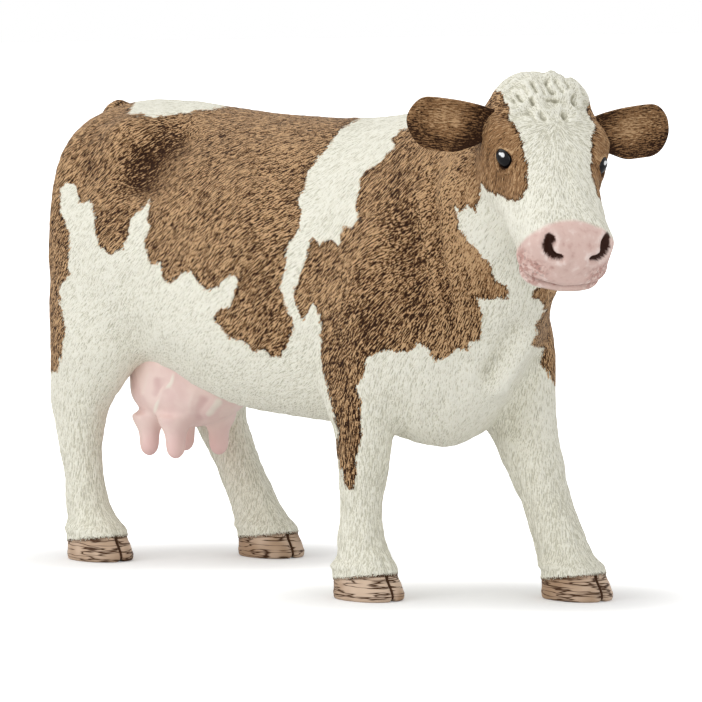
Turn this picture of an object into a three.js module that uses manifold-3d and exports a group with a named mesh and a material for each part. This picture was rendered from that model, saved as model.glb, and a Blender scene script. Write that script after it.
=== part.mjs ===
// A moulded toy cow, about one twentieth of life size, standing in mid stride with its head turned.
// Ten vinyl mouldings are keyed and glued together: the torso, the head, two ears, four legs, the
// udder and the tail. Units are millimetres. +X points to the head, +Y to the cow's left, +Z up.
// Every moulding is lofted from oval sections and joined to the next by a tapered tenon in a socket.
import * as THREE from "three";
import { mergeVertices } from "three/addons/utils/BufferGeometryUtils.js";
import Module from "manifold-3d";

const wasm = await Module();
wasm.setup();

// Driving dimensions
const bodyLength = 104; // from the rump to the front end of the neck
const backHeight = 72.5; // ground to the back over the shoulders
const barrelWidth = 40;
const headLength = 33; // from the back of the skull to the nose
const headWidth = 17.4;
const headDepth = 17; // from the forehead to the jaw
const earLength = 12.4;
const earHeight = 8;
const earThickness = 3.6;
const legDepth = 10; // front to back, above the knee
const legWidth = 8.2;
const hoofLength = 11.4;
const hoofWidth = 9;
const hoofHeight = 4.2;
const cleftWidth = 0.7;
const cleftDepth = 4.8;
const udderLength = 26;
const udderWidth = 18;
const udderHeight = 16;
const teatLength = 5.4;
const teatDiameter = 3.4;
const tuftDiameter = 5.2;

// Glue joints
const seamGap = 0.3; // glue line left between two mouldings
const legTenonLength = 8;
const tenonTaper = 0.8; // how much narrower each side of a tenon is at its tip
const neckTenonLength = 8;
const neckTenonDepth = 15;
const neckTenonWidth = 9;
const earTenonLength = 4.4;
const earTenonWidth = 2.2;
const earTenonHeight = 3;
const udderTenonLength = 5;
const udderTenonSide = 8;
const tailTenonLength = 4;
const tailTenonDiameter = 2.4;
const overrun = 1; // how far a cutting solid runs past what it cuts
const farAway = 300; // side of a block that stands for a half space

// Mesh resolution
const torsoSides = 28;
const legSides = 18;
const smallSides = 14;
const domeSteps = 5; // rings over a domed end

const degrees = (angle) => (angle * Math.PI) / 180;

// Solids

function solidOf(geometry) {
  const bare = geometry.clone();
  bare.deleteAttribute("normal");
  bare.deleteAttribute("uv");
  const merged = mergeVertices(bare);
  return new wasm.Manifold(
    new wasm.Mesh({
      numProp: 3,
      vertProperties: new Float32Array(merged.attributes.position.array),
      triVerts: new Uint32Array(merged.index.array),
    }),
  );
}

function geometryOf(solid) {
  const { vertProperties, triVerts, numProp } = solid.getMesh();
  const count = vertProperties.length / numProp;
  const positions = new Float32Array(count * 3);
  for (let i = 0; i < count; i++) {
    positions.set(vertProperties.subarray(i * numProp, i * numProp + 3), i * 3);
  }
  const geometry = new THREE.BufferGeometry();
  geometry.setAttribute("position", new THREE.BufferAttribute(positions, 3));
  geometry.setIndex(new THREE.BufferAttribute(new Uint32Array(triVerts), 1));
  geometry.computeVertexNormals();
  return geometry;
}

const unite = (solids) => solids.reduce((sum, next) => sum.add(next));

// The part of a solid on one side of a plane: beyond it along the normal, less half a glue line.
function keepBeyond(solid, point, normal) {
  const block = new THREE.BoxGeometry(farAway, farAway, farAway);
  block.translate(0, 0, farAway / 2 + seamGap / 2);
  const turn = new THREE.Quaternion().setFromUnitVectors(new THREE.Vector3(0, 0, 1), normal);
  block.applyQuaternion(turn);
  block.translate(point.x, point.y, point.z);
  return solid.intersect(solidOf(block));
}

// Lofts

// Slopes of a curve through the rows that never overshoots between two of them.
function tangents(ts, values) {
  const chord = ts.slice(1).map((t, i) => (values[i + 1] - values[i]) / (t - ts[i]));
  return ts.map((_, i) => {
    if (i === 0) return chord[0];
    if (i === ts.length - 1) return chord[i - 1];
    if (chord[i - 1] * chord[i] <= 0) return 0;
    return (2 * chord[i - 1] * chord[i]) / (chord[i - 1] + chord[i]);
  });
}

// Reads every number of the rows at a place t between them, along smooth curves.
function rowReader(rows) {
  const ts = rows.map((row) => row.t);
  const keys = Object.keys(rows[0]).filter((key) => key !== "t");
  const slopes = Object.fromEntries(
    keys.map((key) => [key, tangents(ts, rows.map((row) => row[key]))]),
  );
  return (t) => {
    let i = 0;
    while (i < ts.length - 2 && t > ts[i + 1]) i++;
    const span = ts[i + 1] - ts[i];
    const s = Math.min(1, Math.max(0, (t - ts[i]) / span));
    const h00 = 2 * s ** 3 - 3 * s ** 2 + 1;
    const h10 = s ** 3 - 2 * s ** 2 + s;
    const h01 = 3 * s ** 2 - 2 * s ** 3;
    const h11 = s ** 3 - s ** 2;
    const at = {};
    for (const key of keys) {
      at[key] =
        h00 * rows[i][key] +
        h10 * span * slopes[key][i] +
        h01 * rows[i + 1][key] +
        h11 * span * slopes[key][i + 1];
    }
    return at;
  };
}

// Where the rings of a loft lie, and how far each is drawn in where an end is domed.
function ringPlaces(start, end, steps, domeStart, domeEnd) {
  const places = [];
  const first = start + domeStart;
  const last = end - domeEnd;
  for (let i = domeStart ? 1 : domeSteps; i < domeSteps; i++) {
    const angle = (i / domeSteps) * (Math.PI / 2);
    places.push({ t: first - domeStart * Math.cos(angle), scale: Math.sin(angle) });
  }
  for (let i = 0; i <= steps; i++) {
    places.push({ t: first + ((last - first) * i) / steps, scale: 1 });
  }
  for (let i = domeEnd ? domeSteps - 1 : 0; i > 0; i--) {
    const angle = (i / domeSteps) * (Math.PI / 2);
    places.push({ t: last + domeEnd * Math.cos(angle), scale: Math.sin(angle) });
  }
  return places;
}

// A point of an oval section: a superellipse whose four half sizes differ.
function ovalPoint(row, angle, scale, grow) {
  const c = Math.cos(angle);
  const s = Math.sin(angle);
  const power = 2 / (s >= 0 ? row.upperPower : row.lowerPower);
  const side = c >= 0 ? row.left : row.right;
  const rise = s >= 0 ? row.up : row.down;
  return {
    u: Math.sign(c) * Math.abs(c) ** power * (side * scale + grow),
    v: Math.sign(s) * Math.abs(s) ** power * (rise * scale + grow),
  };
}

// The triangles of a closed skin over rings of points, with a last point at the middle of each end.
function ringFaces(ringCount, sides) {
  const faces = [];
  const last = ringCount - 1;
  const startHub = ringCount * sides;
  const endHub = startHub + 1;
  for (let j = 0; j < sides; j++) {
    const next = (j + 1) % sides;
    for (let i = 0; i < last; i++) {
      const a = i * sides + j;
      const d = i * sides + next;
      faces.push(a, d, d + sides, a, d + sides, a + sides);
    }
    faces.push(startHub, next, j);
    faces.push(endHub, last * sides + j, last * sides + next);
  }
  return faces;
}

// A closed loft along local X. Rows hold t, the centre (u, v), the half sizes left, right, up and
// down, and the two powers of the oval. Each bump pushes the skin near a point out, or in if its
// lift is negative.
function loft(rows, options) {
  const { steps, sides, domeStart = 0, domeEnd = 0, grow = 0, bumps = [] } = options;
  const read = rowReader(rows);
  const start = rows[0].t;
  const end = rows[rows.length - 1].t;
  const rings = ringPlaces(start, end, steps, domeStart, domeEnd);
  const points = [];
  rings.forEach(({ t, scale }, i) => {
    const row = read(t);
    const shift = i === 0 ? -grow : i === rings.length - 1 ? grow : 0;
    for (let j = 0; j < sides; j++) {
      const { u, v } = ovalPoint(row, (2 * Math.PI * j) / sides, scale, grow);
      const reach = Math.hypot(u, v);
      let push = 0;
      for (const { at, size, lift } of bumps) {
        const away = Math.hypot(t - at[0], row.u + u - at[1], row.v + v - at[2]) / size;
        push += lift * Math.exp(-away * away);
      }
      const stretch = 1 + push / reach;
      points.push(t + shift, row.u + u * stretch, row.v + v * stretch);
    }
  });
  const startRow = read(start);
  const endRow = read(end);
  points.push(start - grow, startRow.u, startRow.v);
  points.push(end + grow, endRow.u, endRow.v);
  const geometry = new THREE.BufferGeometry();
  geometry.setAttribute("position", new THREE.Float32BufferAttribute(points, 3));
  return geometry.setIndex(ringFaces(rings.length, sides));
}

// The frame of a loft: its axis, and the directions that count as left and up across it.
function frameOf(origin, axis, left, up) {
  return new THREE.Matrix4().makeBasis(axis, left, up).setPosition(origin);
}

const placed = (geometry, frame) => solidOf(geometry.applyMatrix4(frame));

const vector = (x, y, z) => new THREE.Vector3(x, y, z);
const forwards = vector(1, 0, 0);
const leftwards = vector(0, 1, 0);
const upwards = vector(0, 0, 1);
const downwards = vector(0, 0, -1);
const bodyFrame = frameOf(vector(0, 0, 0), forwards, leftwards, upwards);

// An upright loft runs up from its place, with its left towards the head.
const uprightAt = (place) => frameOf(place, upwards, forwards, leftwards);

const round = { upperPower: 2, lowerPower: 2 };
const keyedPower = 4; // power of an oval that is nearly a square, so that it can't turn in its socket

// A tapered tenon along local X, from just inside its own moulding to its tip.
function tenon(length, halfU, halfV, taper, grow) {
  const powers = { upperPower: keyedPower, lowerPower: keyedPower, u: 0, v: 0 };
  const root = { t: -overrun, left: halfU, right: halfU, up: halfV, down: halfV, ...powers };
  const narrowU = halfU - taper;
  const narrowV = halfV - taper;
  const tip = { t: length, left: narrowU, right: narrowU, up: narrowV, down: narrowV, ...powers };
  return loft([root, tip], { steps: 1, sides: smallSides, grow });
}

// Torso

const rumpX = -58; // where the back of the thighs lies
const backX = (share) => rumpX + share * bodyLength;

// Along the body: place, top, widest height and bottom as shares of the back's height, half width
// as a share of the barrel's half width, sideways shift of the neck, and the powers of the oval.
const torsoShares = [
  [0.0, 0.88, 0.76, 0.6, 0.6, 0, 2.6, 2.4],
  [0.04, 0.975, 0.73, 0.45, 0.81, 0, 2.6, 2.4],
  [0.1, 1.004, 0.71, 0.41, 0.86, 0, 2.2, 2.4],
  [0.18, 1.005, 0.7, 0.42, 0.9, 0, 2.0, 2.4],
  [0.26, 0.998, 0.66, 0.4, 0.91, 0, 1.85, 2.3],
  [0.34, 0.99, 0.61, 0.365, 0.96, 0, 1.8, 2.2],
  [0.44, 0.982, 0.58, 0.345, 1.0, 0, 1.9, 2.2],
  [0.54, 0.98, 0.58, 0.34, 0.98, 0, 1.9, 2.2],
  [0.64, 0.985, 0.58, 0.335, 0.92, 0, 1.85, 2.1],
  [0.73, 0.996, 0.58, 0.318, 0.87, 0, 1.8, 1.9],
  [0.8, 1.002, 0.6, 0.308, 0.83, 0, 1.75, 1.8],
  [0.865, 1.002, 0.62, 0.365, 0.72, -0.02, 1.8, 1.7],
  [0.92, 1.005, 0.68, 0.455, 0.56, -0.05, 1.9, 1.7],
  [0.965, 1.015, 0.75, 0.55, 0.45, -0.08, 2.0, 1.9],
  [1.0, 1.02, 0.79, 0.61, 0.4, -0.1, 2.0, 2.0],
  [1.04, 1.0, 0.82, 0.66, 0.36, -0.12, 2.0, 2.0],
];

const torsoRows = torsoShares.map(([place, top, middle, bottom, width, shift, upper, lower]) => ({
  t: backX(place),
  u: (shift * barrelWidth) / 2,
  v: middle * backHeight,
  left: (width * barrelWidth) / 2,
  right: (width * barrelWidth) / 2,
  up: (top - middle) * backHeight,
  down: (middle - bottom) * backHeight,
  upperPower: upper,
  lowerPower: lower,
}));

// Bony points and hollows of the coat: place, side and height as shares of the body's length, the
// barrel's half width and the back's height, then size and lift as shares of the barrel's half width.
const torsoBumpShares = [
  [0.17, 0.62, 0.95, 0.2, 0.1], // hook bone
  [0.04, 0.4, 0.88, 0.18, 0.05], // pin bone
  [0.27, 0.62, 0.87, 0.3, -0.1], // hollow of the flank
  [0.12, 0.75, 0.82, 0.22, -0.05], // hollow behind the hook bone
  [0.1, 0.85, 0.6, 0.5, 0.07], // thigh
  [0.79, 0.8, 0.66, 0.36, 0.06], // shoulder blade
  [0.78, 0.8, 0.47, 0.4, 0.07], // point of the shoulder
  [0.89, 0.6, 0.72, 0.26, -0.08], // groove in front of the shoulder
  [0.66, 0.8, 0.5, 0.26, -0.04], // behind the elbow
];

const bothSides = [1, -1];
const torsoBumps = torsoBumpShares.flatMap(([place, side, height, size, lift]) =>
  bothSides.map((sign) => ({
    at: [backX(place), (sign * side * barrelWidth) / 2, height * backHeight],
    size: (size * barrelWidth) / 2,
    lift: (lift * barrelWidth) / 2,
  })),
);

const rumpDome = 0.045 * bodyLength;
const throatDome = 0.05 * bodyLength;
const torsoLoft = (grow) =>
  placed(
    loft(torsoRows, {
      steps: 30,
      sides: torsoSides,
      domeStart: rumpDome,
      domeEnd: throatDome,
      grow,
      bumps: torsoBumps,
    }),
    bodyFrame,
  );

// Legs

// Up a leg: height as a share of the back's height, forward shift as a share of the body's length,
// sideways shift, half depth to the front and to the back as shares of the leg's depth, and half
// width as a share of the leg's width. The lowest rows are the hoof, which has sizes of its own.
const straightForelegShares = [
  [0.085, -0.004, 0.0, 0.42, 0.46, 0.46],
  [0.12, -0.012, 0.0, 0.36, 0.4, 0.42],
  [0.18, -0.012, 0.0, 0.32, 0.34, 0.36],
  [0.24, -0.01, 0.0, 0.37, 0.36, 0.42],
  [0.28, -0.008, 0.0, 0.42, 0.38, 0.46],
  [0.34, -0.008, 0.0, 0.5, 0.5, 0.5],
  [0.42, -0.01, 0.02, 0.7, 0.76, 0.58],
  [0.52, -0.004, 0.03, 0.95, 1.0, 0.64],
  [0.66, 0.0, -0.04, 1.0, 1.05, 0.56],
  [0.78, 0.0, -0.2, 0.8, 0.85, 0.4],
];
const strideForelegShares = [
  [0.085, -0.016, 0.0, 0.42, 0.54, 0.46],
  [0.12, -0.03, 0.0, 0.4, 0.5, 0.45],
  [0.18, -0.052, 0.0, 0.37, 0.5, 0.42],
  [0.24, -0.075, 0.0, 0.4, 0.57, 0.46],
  [0.28, -0.086, 0.0, 0.42, 0.66, 0.5],
  [0.34, -0.105, 0.0, 0.5, 0.8, 0.55],
  [0.42, -0.13, 0.02, 0.7, 0.95, 0.6],
  [0.52, -0.15, 0.02, 0.9, 1.0, 0.62],
  [0.66, -0.18, -0.06, 0.95, 1.0, 0.54],
  [0.78, -0.21, -0.22, 0.75, 0.8, 0.4],
];
const straightHindlegShares = [
  [0.085, -0.012, 0.0, 0.42, 0.46, 0.46],
  [0.12, -0.026, 0.0, 0.34, 0.4, 0.42],
  [0.19, -0.036, 0.0, 0.31, 0.36, 0.37],
  [0.26, -0.044, 0.0, 0.38, 0.44, 0.41],
  [0.32, -0.044, 0.0, 0.54, 0.6, 0.46],
  [0.38, -0.03, 0.0, 0.8, 0.76, 0.55],
  [0.46, -0.002, 0.02, 1.06, 0.96, 0.66],
  [0.58, 0.02, 0.03, 1.24, 1.2, 0.7],
  [0.72, 0.03, -0.06, 1.2, 1.2, 0.6],
  [0.85, 0.03, -0.22, 0.95, 1.0, 0.44],
];
const strideHindlegShares = [
  [0.085, -0.018, 0.0, 0.42, 0.54, 0.48],
  [0.12, -0.036, 0.0, 0.4, 0.52, 0.44],
  [0.19, -0.07, 0.0, 0.38, 0.52, 0.4],
  [0.26, -0.105, 0.0, 0.44, 0.58, 0.44],
  [0.32, -0.13, 0.0, 0.58, 0.7, 0.48],
  [0.38, -0.14, 0.0, 0.82, 0.8, 0.56],
  [0.46, -0.13, 0.02, 1.06, 0.96, 0.66],
  [0.58, -0.11, 0.03, 1.24, 1.2, 0.7],
  [0.72, -0.1, -0.06, 1.2, 1.2, 0.6],
  [0.85, -0.1, -0.22, 0.95, 1.0, 0.44],
];

// Each leg: where its hoof stands, as shares of the body's length and of the barrel's half width,
// and the height of its glue joint as a share of the back's height.
const legs = [
  {
    name: "front_right_leg",
    stand: { placeShare: 0.75, sideShare: -0.6, seamShare: 0.3 },
    rows: straightForelegShares,
  },
  {
    name: "front_left_leg",
    stand: { placeShare: 0.94, sideShare: 0.6, seamShare: 0.3 },
    rows: strideForelegShares,
  },
  {
    name: "rear_right_leg",
    stand: { placeShare: 0.11, sideShare: -0.6, seamShare: 0.35 },
    rows: straightHindlegShares,
  },
  {
    name: "rear_left_leg",
    stand: { placeShare: 0.24, sideShare: 0.6, seamShare: 0.35 },
    rows: strideHindlegShares,
  },
];

// The hoof widens to the sole and slopes back to the hairline: height as a share of the hoof's
// height, then half length to the front and back and half width as shares of the hoof's sizes.
const toeShare = 0.56; // from the middle of the leg to the tip of the toes
const hoofPower = 2.3; // a little squarer than an oval
const hoofShares = [
  [0.0, 0.0, 0.54, 0.44, 0.5],
  [0.12, 0.0, toeShare, 0.45, 0.51],
  [1.0, -0.06, 0.46, 0.42, 0.46],
  [1.1, -0.08, 0.46, 0.46, 0.5],
];

function legRows({ stand, rows }) {
  const hoof = hoofShares.map(([height, forward, front, back, width]) => ({
    t: height * hoofHeight,
    u: forward * hoofLength,
    v: 0,
    left: front * hoofLength,
    right: back * hoofLength,
    up: width * hoofWidth,
    down: width * hoofWidth,
    upperPower: hoofPower,
    lowerPower: hoofPower,
  }));
  const limb = rows.map(([height, forward, outward, front, back, width]) => ({
    t: height * backHeight,
    u: forward * bodyLength,
    v: (Math.sign(stand.sideShare) * outward * barrelWidth) / 2,
    left: front * legDepth,
    right: back * legDepth,
    up: width * legWidth,
    down: width * legWidth,
    ...round,
  }));
  return [...hoof, ...limb];
}

const standOf = ({ stand }) =>
  vector(backX(stand.placeShare), (stand.sideShare * barrelWidth) / 2, 0);

function legLoft(leg, grow) {
  const frame = uprightAt(standOf(leg));
  const rows = legRows(leg);
  const topDome = 0.06 * backHeight;
  return placed(loft(rows, { steps: 26, sides: legSides, domeEnd: topDome, grow }), frame);
}

// The cleft between the two toes, open at the front and below.
function hoofCleft(leg) {
  const cleft = new THREE.BoxGeometry(cleftDepth + overrun, cleftWidth, hoofHeight + overrun);
  const { x, y } = standOf(leg);
  const toe = x + toeShare * hoofLength;
  cleft.translate(toe - (cleftDepth - overrun) / 2, y, (hoofHeight - overrun) / 2);
  return solidOf(cleft);
}

const seamHeight = ({ stand }) => stand.seamShare * backHeight;

// The tenon of a leg stands on the middle of its glue face and points up into the torso.
function legTenon(leg, grow) {
  const seam = seamHeight(leg);
  const row = rowReader(legRows(leg))(seam);
  const tenonShare = 0.5; // of the leg's own section at the glue face
  const halfDepth = tenonShare * Math.min(row.left, row.right);
  const halfWidth = tenonShare * row.up;
  const centre = standOf(leg).add(vector(row.u, row.v, seam));
  const frame = uprightAt(centre);
  return placed(tenon(legTenonLength, halfDepth, halfWidth, tenonTaper, grow), frame);
}

const legSolid = (leg) =>
  keepBeyond(legLoft(leg, 0), vector(0, 0, seamHeight(leg)), downwards)
    .add(legTenon(leg, 0))
    .subtract(hoofCleft(leg));

const upperLeg = (leg) =>
  keepBeyond(legLoft(leg, 0), vector(0, 0, seamHeight(leg)), upwards);

// Head

const headYaw = degrees(-29); // turned to the cow's right
const headPitch = degrees(36); // nose down
const headRoll = degrees(-6);

const skull = vector(backX(1.002), -0.13 * (barrelWidth / 2), 0.99 * backHeight);
const headTurn = new THREE.Matrix4()
  .makeRotationZ(headYaw)
  .multiply(new THREE.Matrix4().makeRotationY(headPitch))
  .multiply(new THREE.Matrix4().makeRotationX(headRoll));
const headFrame = headTurn.clone().setPosition(skull);

// A place in the head: along it from the back of the skull, out to a side and up, all as shares.
const headPoint = ([place, side, height], sign) =>
  vector(place * headLength, sign * side * headWidth, height * headDepth);

// Along the head from the back of the skull to the nose: place as a share of its length, shift and
// half sizes up to the forehead and down to the jaw as shares of its depth, half width as a share
// of its width, and the powers of the oval.
const headShares = [
  [-0.1, 0.0, 0.3, 0.36, 0.4, 2.0, 2.0],
  [0.0, 0.0, 0.42, 0.48, 0.48, 2.2, 2.0],
  [0.12, 0.0, 0.46, 0.56, 0.5, 2.5, 2.0],
  [0.26, 0.0, 0.43, 0.6, 0.5, 2.6, 2.0],
  [0.38, 0.0, 0.37, 0.56, 0.48, 2.5, 2.0],
  [0.5, 0.0, 0.31, 0.48, 0.43, 2.4, 2.1],
  [0.62, 0.0, 0.27, 0.41, 0.38, 2.4, 2.2],
  [0.74, 0.0, 0.25, 0.39, 0.36, 2.3, 2.6],
  [0.84, 0.0, 0.27, 0.42, 0.38, 2.3, 3.0],
  [0.92, 0.0, 0.27, 0.45, 0.38, 2.3, 3.4],
  [1.0, 0.0, 0.23, 0.4, 0.34, 2.3, 3.4],
];

const headRows = headShares.map(([place, shift, up, down, width, upper, lower]) => ({
  t: place * headLength,
  u: 0,
  v: shift * headDepth,
  left: width * headWidth,
  right: width * headWidth,
  up: up * headDepth,
  down: down * headDepth,
  upperPower: upper,
  lowerPower: lower,
}));

// Brow, cheek and lip: place, side and height as shares of the head's length, width and depth,
// then size and lift as shares of the head's width.
const headBumpShares = [
  [0.27, 0.46, 0.22, 0.16, 0.06], // brow over the eye
  [0.3, 0.5, -0.3, 0.26, 0.05], // cheek
  [0.5, 0.36, 0.02, 0.2, -0.05], // hollow below the eye
  [0.95, 0.26, 0.16, 0.14, 0.02], // wing of the nostril
];

const headBumps = headBumpShares.flatMap(([place, side, height, size, lift]) =>
  bothSides.map((sign) => ({
    at: headPoint([place, side, height], sign).toArray(),
    size: size * headWidth,
    lift: lift * headWidth,
  })),
);

const noseDome = 0.14 * headLength;
const skullDome = 0.12 * headLength;
const headLoft = (grow) =>
  placed(
    loft(headRows, {
      steps: 20,
      sides: 24,
      domeStart: skullDome,
      domeEnd: noseDome,
      grow,
      bumps: headBumps,
    }),
    headFrame,
  );

// The curly tuft between the ears, a low cap on top of the skull: place as a share of its height,
// then half width and half depth as shares of the head's width.
const tuftShares = [
  [0.0, 0.3, 0.24],
  [0.4, 0.42, 0.32],
  [0.75, 0.4, 0.31],
  [1.0, 0.3, 0.24],
];
const tuftHeight = 7.6;
const tuftPlaceShares = [0.09, 0, 0.12];

function pollTuft() {
  const tuftBase = headPoint(tuftPlaceShares, 1).applyMatrix4(headFrame);
  const turn = new THREE.Matrix4().makeRotationZ(headYaw);
  const frame = turn.multiply(uprightAt(vector(0, 0, 0))).setPosition(tuftBase);
  const rows = tuftShares.map(([place, width, depth]) => ({
    t: place * tuftHeight,
    u: 0,
    v: 0,
    left: depth * headWidth,
    right: depth * headWidth,
    up: width * headWidth,
    down: width * headWidth,
    ...round,
  }));
  return placed(loft(rows, { steps: 6, sides: legSides, domeEnd: 0.6 * tuftHeight }), frame);
}

// The glue joint of the neck lies across it, behind the ears and the jaw.
const neckSeam = vector(backX(0.9), -0.03 * (barrelWidth / 2), 0.78 * backHeight);
const neckRise = degrees(-12);
const neckTurn = degrees(-8);
const neckDirection = forwards
  .clone()
  .applyAxisAngle(leftwards, neckRise)
  .applyAxisAngle(upwards, neckTurn);
const behindNeck = neckDirection.clone().negate();

function neckTenon(grow) {
  const side = upwards.clone().cross(behindNeck).normalize();
  const frame = frameOf(neckSeam, behindNeck, side, behindNeck.clone().cross(side));
  const taper = tenonTaper;
  return placed(tenon(neckTenonLength, neckTenonWidth / 2, neckTenonDepth / 2, taper, grow), frame);
}

// Nostrils, mouth line and eyes

const nostrilLength = 3.6;
const nostrilWidth = 1.3;
const nostrilDepth = 1.6;
const nostrilLean = degrees(-28);
const mouthGap = 0.6;
const mouthDepth = 1.6;
const mouthLength = 0.3 * headLength;
const lipWidth = 0.68 * headWidth;
const eyeDiameter = 3.2;
const nostrilPlaceShares = [0.97, 0.235, 0.12];
const mouthPlaceShares = [1, 0, -0.29];
const eyePlaceShares = [0.41, 0.4, 0.17];

// A ball stretched to three half sizes.
function ellipsoid(halfX, halfY, halfZ) {
  const ball = new THREE.SphereGeometry(halfX, smallSides, smallSides / 2);
  return ball.scale(1, halfY / halfX, halfZ / halfX);
}

function nostril(sign) {
  const slot = ellipsoid(nostrilDepth, nostrilWidth / 2, nostrilLength / 2);
  slot.rotateX(sign * nostrilLean);
  slot.translate(...headPoint(nostrilPlaceShares, sign));
  return placed(slot, headFrame);
}

// The mouth is a slit round the end of the muzzle that leaves the middle of the jaw whole.
function mouth() {
  const slit = new THREE.BoxGeometry(mouthLength, headWidth, mouthGap);
  const core = new THREE.BoxGeometry(mouthLength, lipWidth - 2 * mouthDepth, mouthGap + overrun);
  slit.translate(...headPoint(mouthPlaceShares, 1));
  core.translate(...headPoint(mouthPlaceShares, 1));
  core.translate(-mouthDepth, 0, 0);
  return placed(slit, headFrame).subtract(placed(core, headFrame));
}

function eye(sign) {
  const ball = ellipsoid(eyeDiameter / 2, eyeDiameter / 2, eyeDiameter / 2);
  ball.translate(...headPoint(eyePlaceShares, sign));
  return placed(ball, headFrame);
}

// Ears

const earSweep = degrees(13); // swept back from straight out
const earRise = degrees(6); // pricked a little

// Out along an ear: place as a share of its length, reach up and down as shares of its height, and
// half thickness as a share of its thickness. The upper edge is the straighter one.
const earShares = [
  [-0.12, 0.32, 0.34, 0.44],
  [0.0, 0.36, 0.38, 0.5],
  [0.2, 0.41, 0.46, 0.52],
  [0.45, 0.44, 0.52, 0.46],
  [0.68, 0.44, 0.52, 0.36],
  [0.86, 0.38, 0.42, 0.26],
  [1.0, 0.26, 0.26, 0.18],
];

const earPlaceShares = [0.17, 0.44, 0.14];
const earRoot = (sign) => headPoint(earPlaceShares, sign).applyMatrix4(headFrame);

// An ear runs out from its root, nearly level, with its height across it and its cup facing forward.
function earFrame(sign) {
  const out = vector(-Math.sin(earSweep), sign * Math.cos(earSweep), 0).applyMatrix4(headTurn);
  out.z = Math.sin(earRise);
  out.normalize();
  const up = upwards.clone().addScaledVector(out, -out.z).normalize();
  return frameOf(earRoot(sign), out, up, out.clone().cross(up));
}

const earRows = earShares.map(([place, above, below, thickness]) => ({
  t: place * earLength,
  u: 0,
  v: 0,
  left: above * earHeight,
  right: below * earHeight,
  up: thickness * earThickness,
  down: thickness * earThickness,
  ...round,
}));

function earLoft(sign, grow) {
  const domeEnd = 0.22 * earLength;
  const shape = loft(earRows, { steps: 14, sides: smallSides, domeEnd, grow });
  return placed(shape, earFrame(sign));
}

// The hollow of the ear is a flattened ball sunk into its front.
function earCup(sign) {
  const cup = ellipsoid(0.42 * earLength, 0.36 * earHeight, 0.5 * earThickness);
  cup.translate(0.52 * earLength, 0, sign * 0.56 * earThickness);
  return placed(cup, earFrame(sign));
}

// The tenon of an ear runs straight into the side of the skull.
function earTenon(sign, grow) {
  const inward = vector(0, -sign, 0).applyMatrix4(headTurn);
  const up = vector(0, 0, 1).applyMatrix4(headTurn);
  const frame = frameOf(earRoot(sign), inward, up.clone().cross(inward), up);
  return placed(tenon(earTenonLength, earTenonWidth / 2, earTenonHeight / 2, 0, grow), frame);
}

// Udder

// Up the bag: place as a share of its height, then half length to the front and back as shares of
// its length and half width as a share of its width.
const udderShares = [
  [0.0, 0.3, 0.34, 0.36],
  [0.14, 0.37, 0.4, 0.43],
  [0.35, 0.43, 0.44, 0.48],
  [0.7, 0.46, 0.46, 0.5],
  [1.0, 0.42, 0.42, 0.46],
];

const udderPlace = vector(backX(0.196), -0.03 * (barrelWidth / 2), 0.29 * backHeight);

function udderBag() {
  const rows = udderShares.map(([height, front, back, width]) => ({
    t: height * udderHeight,
    u: 0.06 * height * udderLength,
    v: 0,
    left: front * udderLength,
    right: back * udderLength,
    up: width * udderWidth,
    down: width * udderWidth,
    ...round,
  }));
  const frame = uprightAt(udderPlace);
  return placed(loft(rows, { steps: 10, sides: legSides, domeStart: 0.34 * udderHeight }), frame);
}

// Up a teat: place as a share of its length and half thickness as a share of its diameter.
const teatShares = [
  [0.0, 0.4],
  [0.35, 0.46],
  [0.7, 0.5],
  [1.0, 0.75],
  [1.3, 0.95],
];

function teat(along, side) {
  const rows = teatShares.map(([height, half]) => ({
    t: height * teatLength,
    u: 0,
    v: 0,
    left: half * teatDiameter,
    right: half * teatDiameter,
    up: half * teatDiameter,
    down: half * teatDiameter,
    ...round,
  }));
  const place = udderPlace
    .clone()
    .add(vector(along * udderLength, side * udderWidth, -0.86 * teatLength));
  const frame = uprightAt(place);
  return placed(loft(rows, { steps: 6, sides: smallSides, domeStart: 0.5 * teatDiameter }), frame);
}

function udderTenon(grow) {
  const belly = rowReader(torsoRows)(udderPlace.x);
  const height = belly.v - belly.down;
  const frame = uprightAt(vector(udderPlace.x, 0, height));
  const half = udderTenonSide / 2;
  return placed(tenon(udderTenonLength, half, half, tenonTaper, grow), frame);
}

// Tail

// The middle of the tail, from inside the tail head over the rump and down behind the right hock:
// forward from the rump, to the left and up, as shares of the body's length, the barrel's half
// width and the back's height.
const tailPathShares = [
  [0.035, 0.0, 0.965],
  [0.012, 0.0, 0.972],
  [-0.012, 0.0, 0.93],
  [-0.022, 0.0, 0.84],
  [-0.026, -0.02, 0.7],
  [-0.026, -0.12, 0.56],
  [-0.022, -0.26, 0.46],
  [-0.016, -0.38, 0.38],
  [-0.006, -0.44, 0.3],
];

// Along the tail: place as a share of its length and half thickness as a share of the tuft's width.
const tailShares = [
  [0.0, 0.3],
  [0.08, 0.4],
  [0.3, 0.34],
  [0.55, 0.28],
  [0.72, 0.3],
  [0.84, 0.46],
  [0.93, 0.44],
  [1.0, 0.12],
];

// A round tube whose thickness changes along a curve.
function taperedTube(curve, rows, steps, sides) {
  const read = rowReader(rows);
  const { normals, binormals } = curve.computeFrenetFrames(steps);
  const points = [];
  for (let i = 0; i <= steps; i++) {
    const centre = curve.getPointAt(i / steps);
    const { half } = read(i / steps);
    for (let j = 0; j < sides; j++) {
      const angle = (2 * Math.PI * j) / sides;
      const point = centre.clone().addScaledVector(normals[i], half * Math.cos(angle));
      points.push(point.addScaledVector(binormals[i], half * Math.sin(angle)));
    }
  }
  points.push(curve.getPointAt(0), curve.getPointAt(1));
  const geometry = new THREE.BufferGeometry().setFromPoints(points);
  return geometry.setIndex(ringFaces(steps + 1, sides));
}

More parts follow.
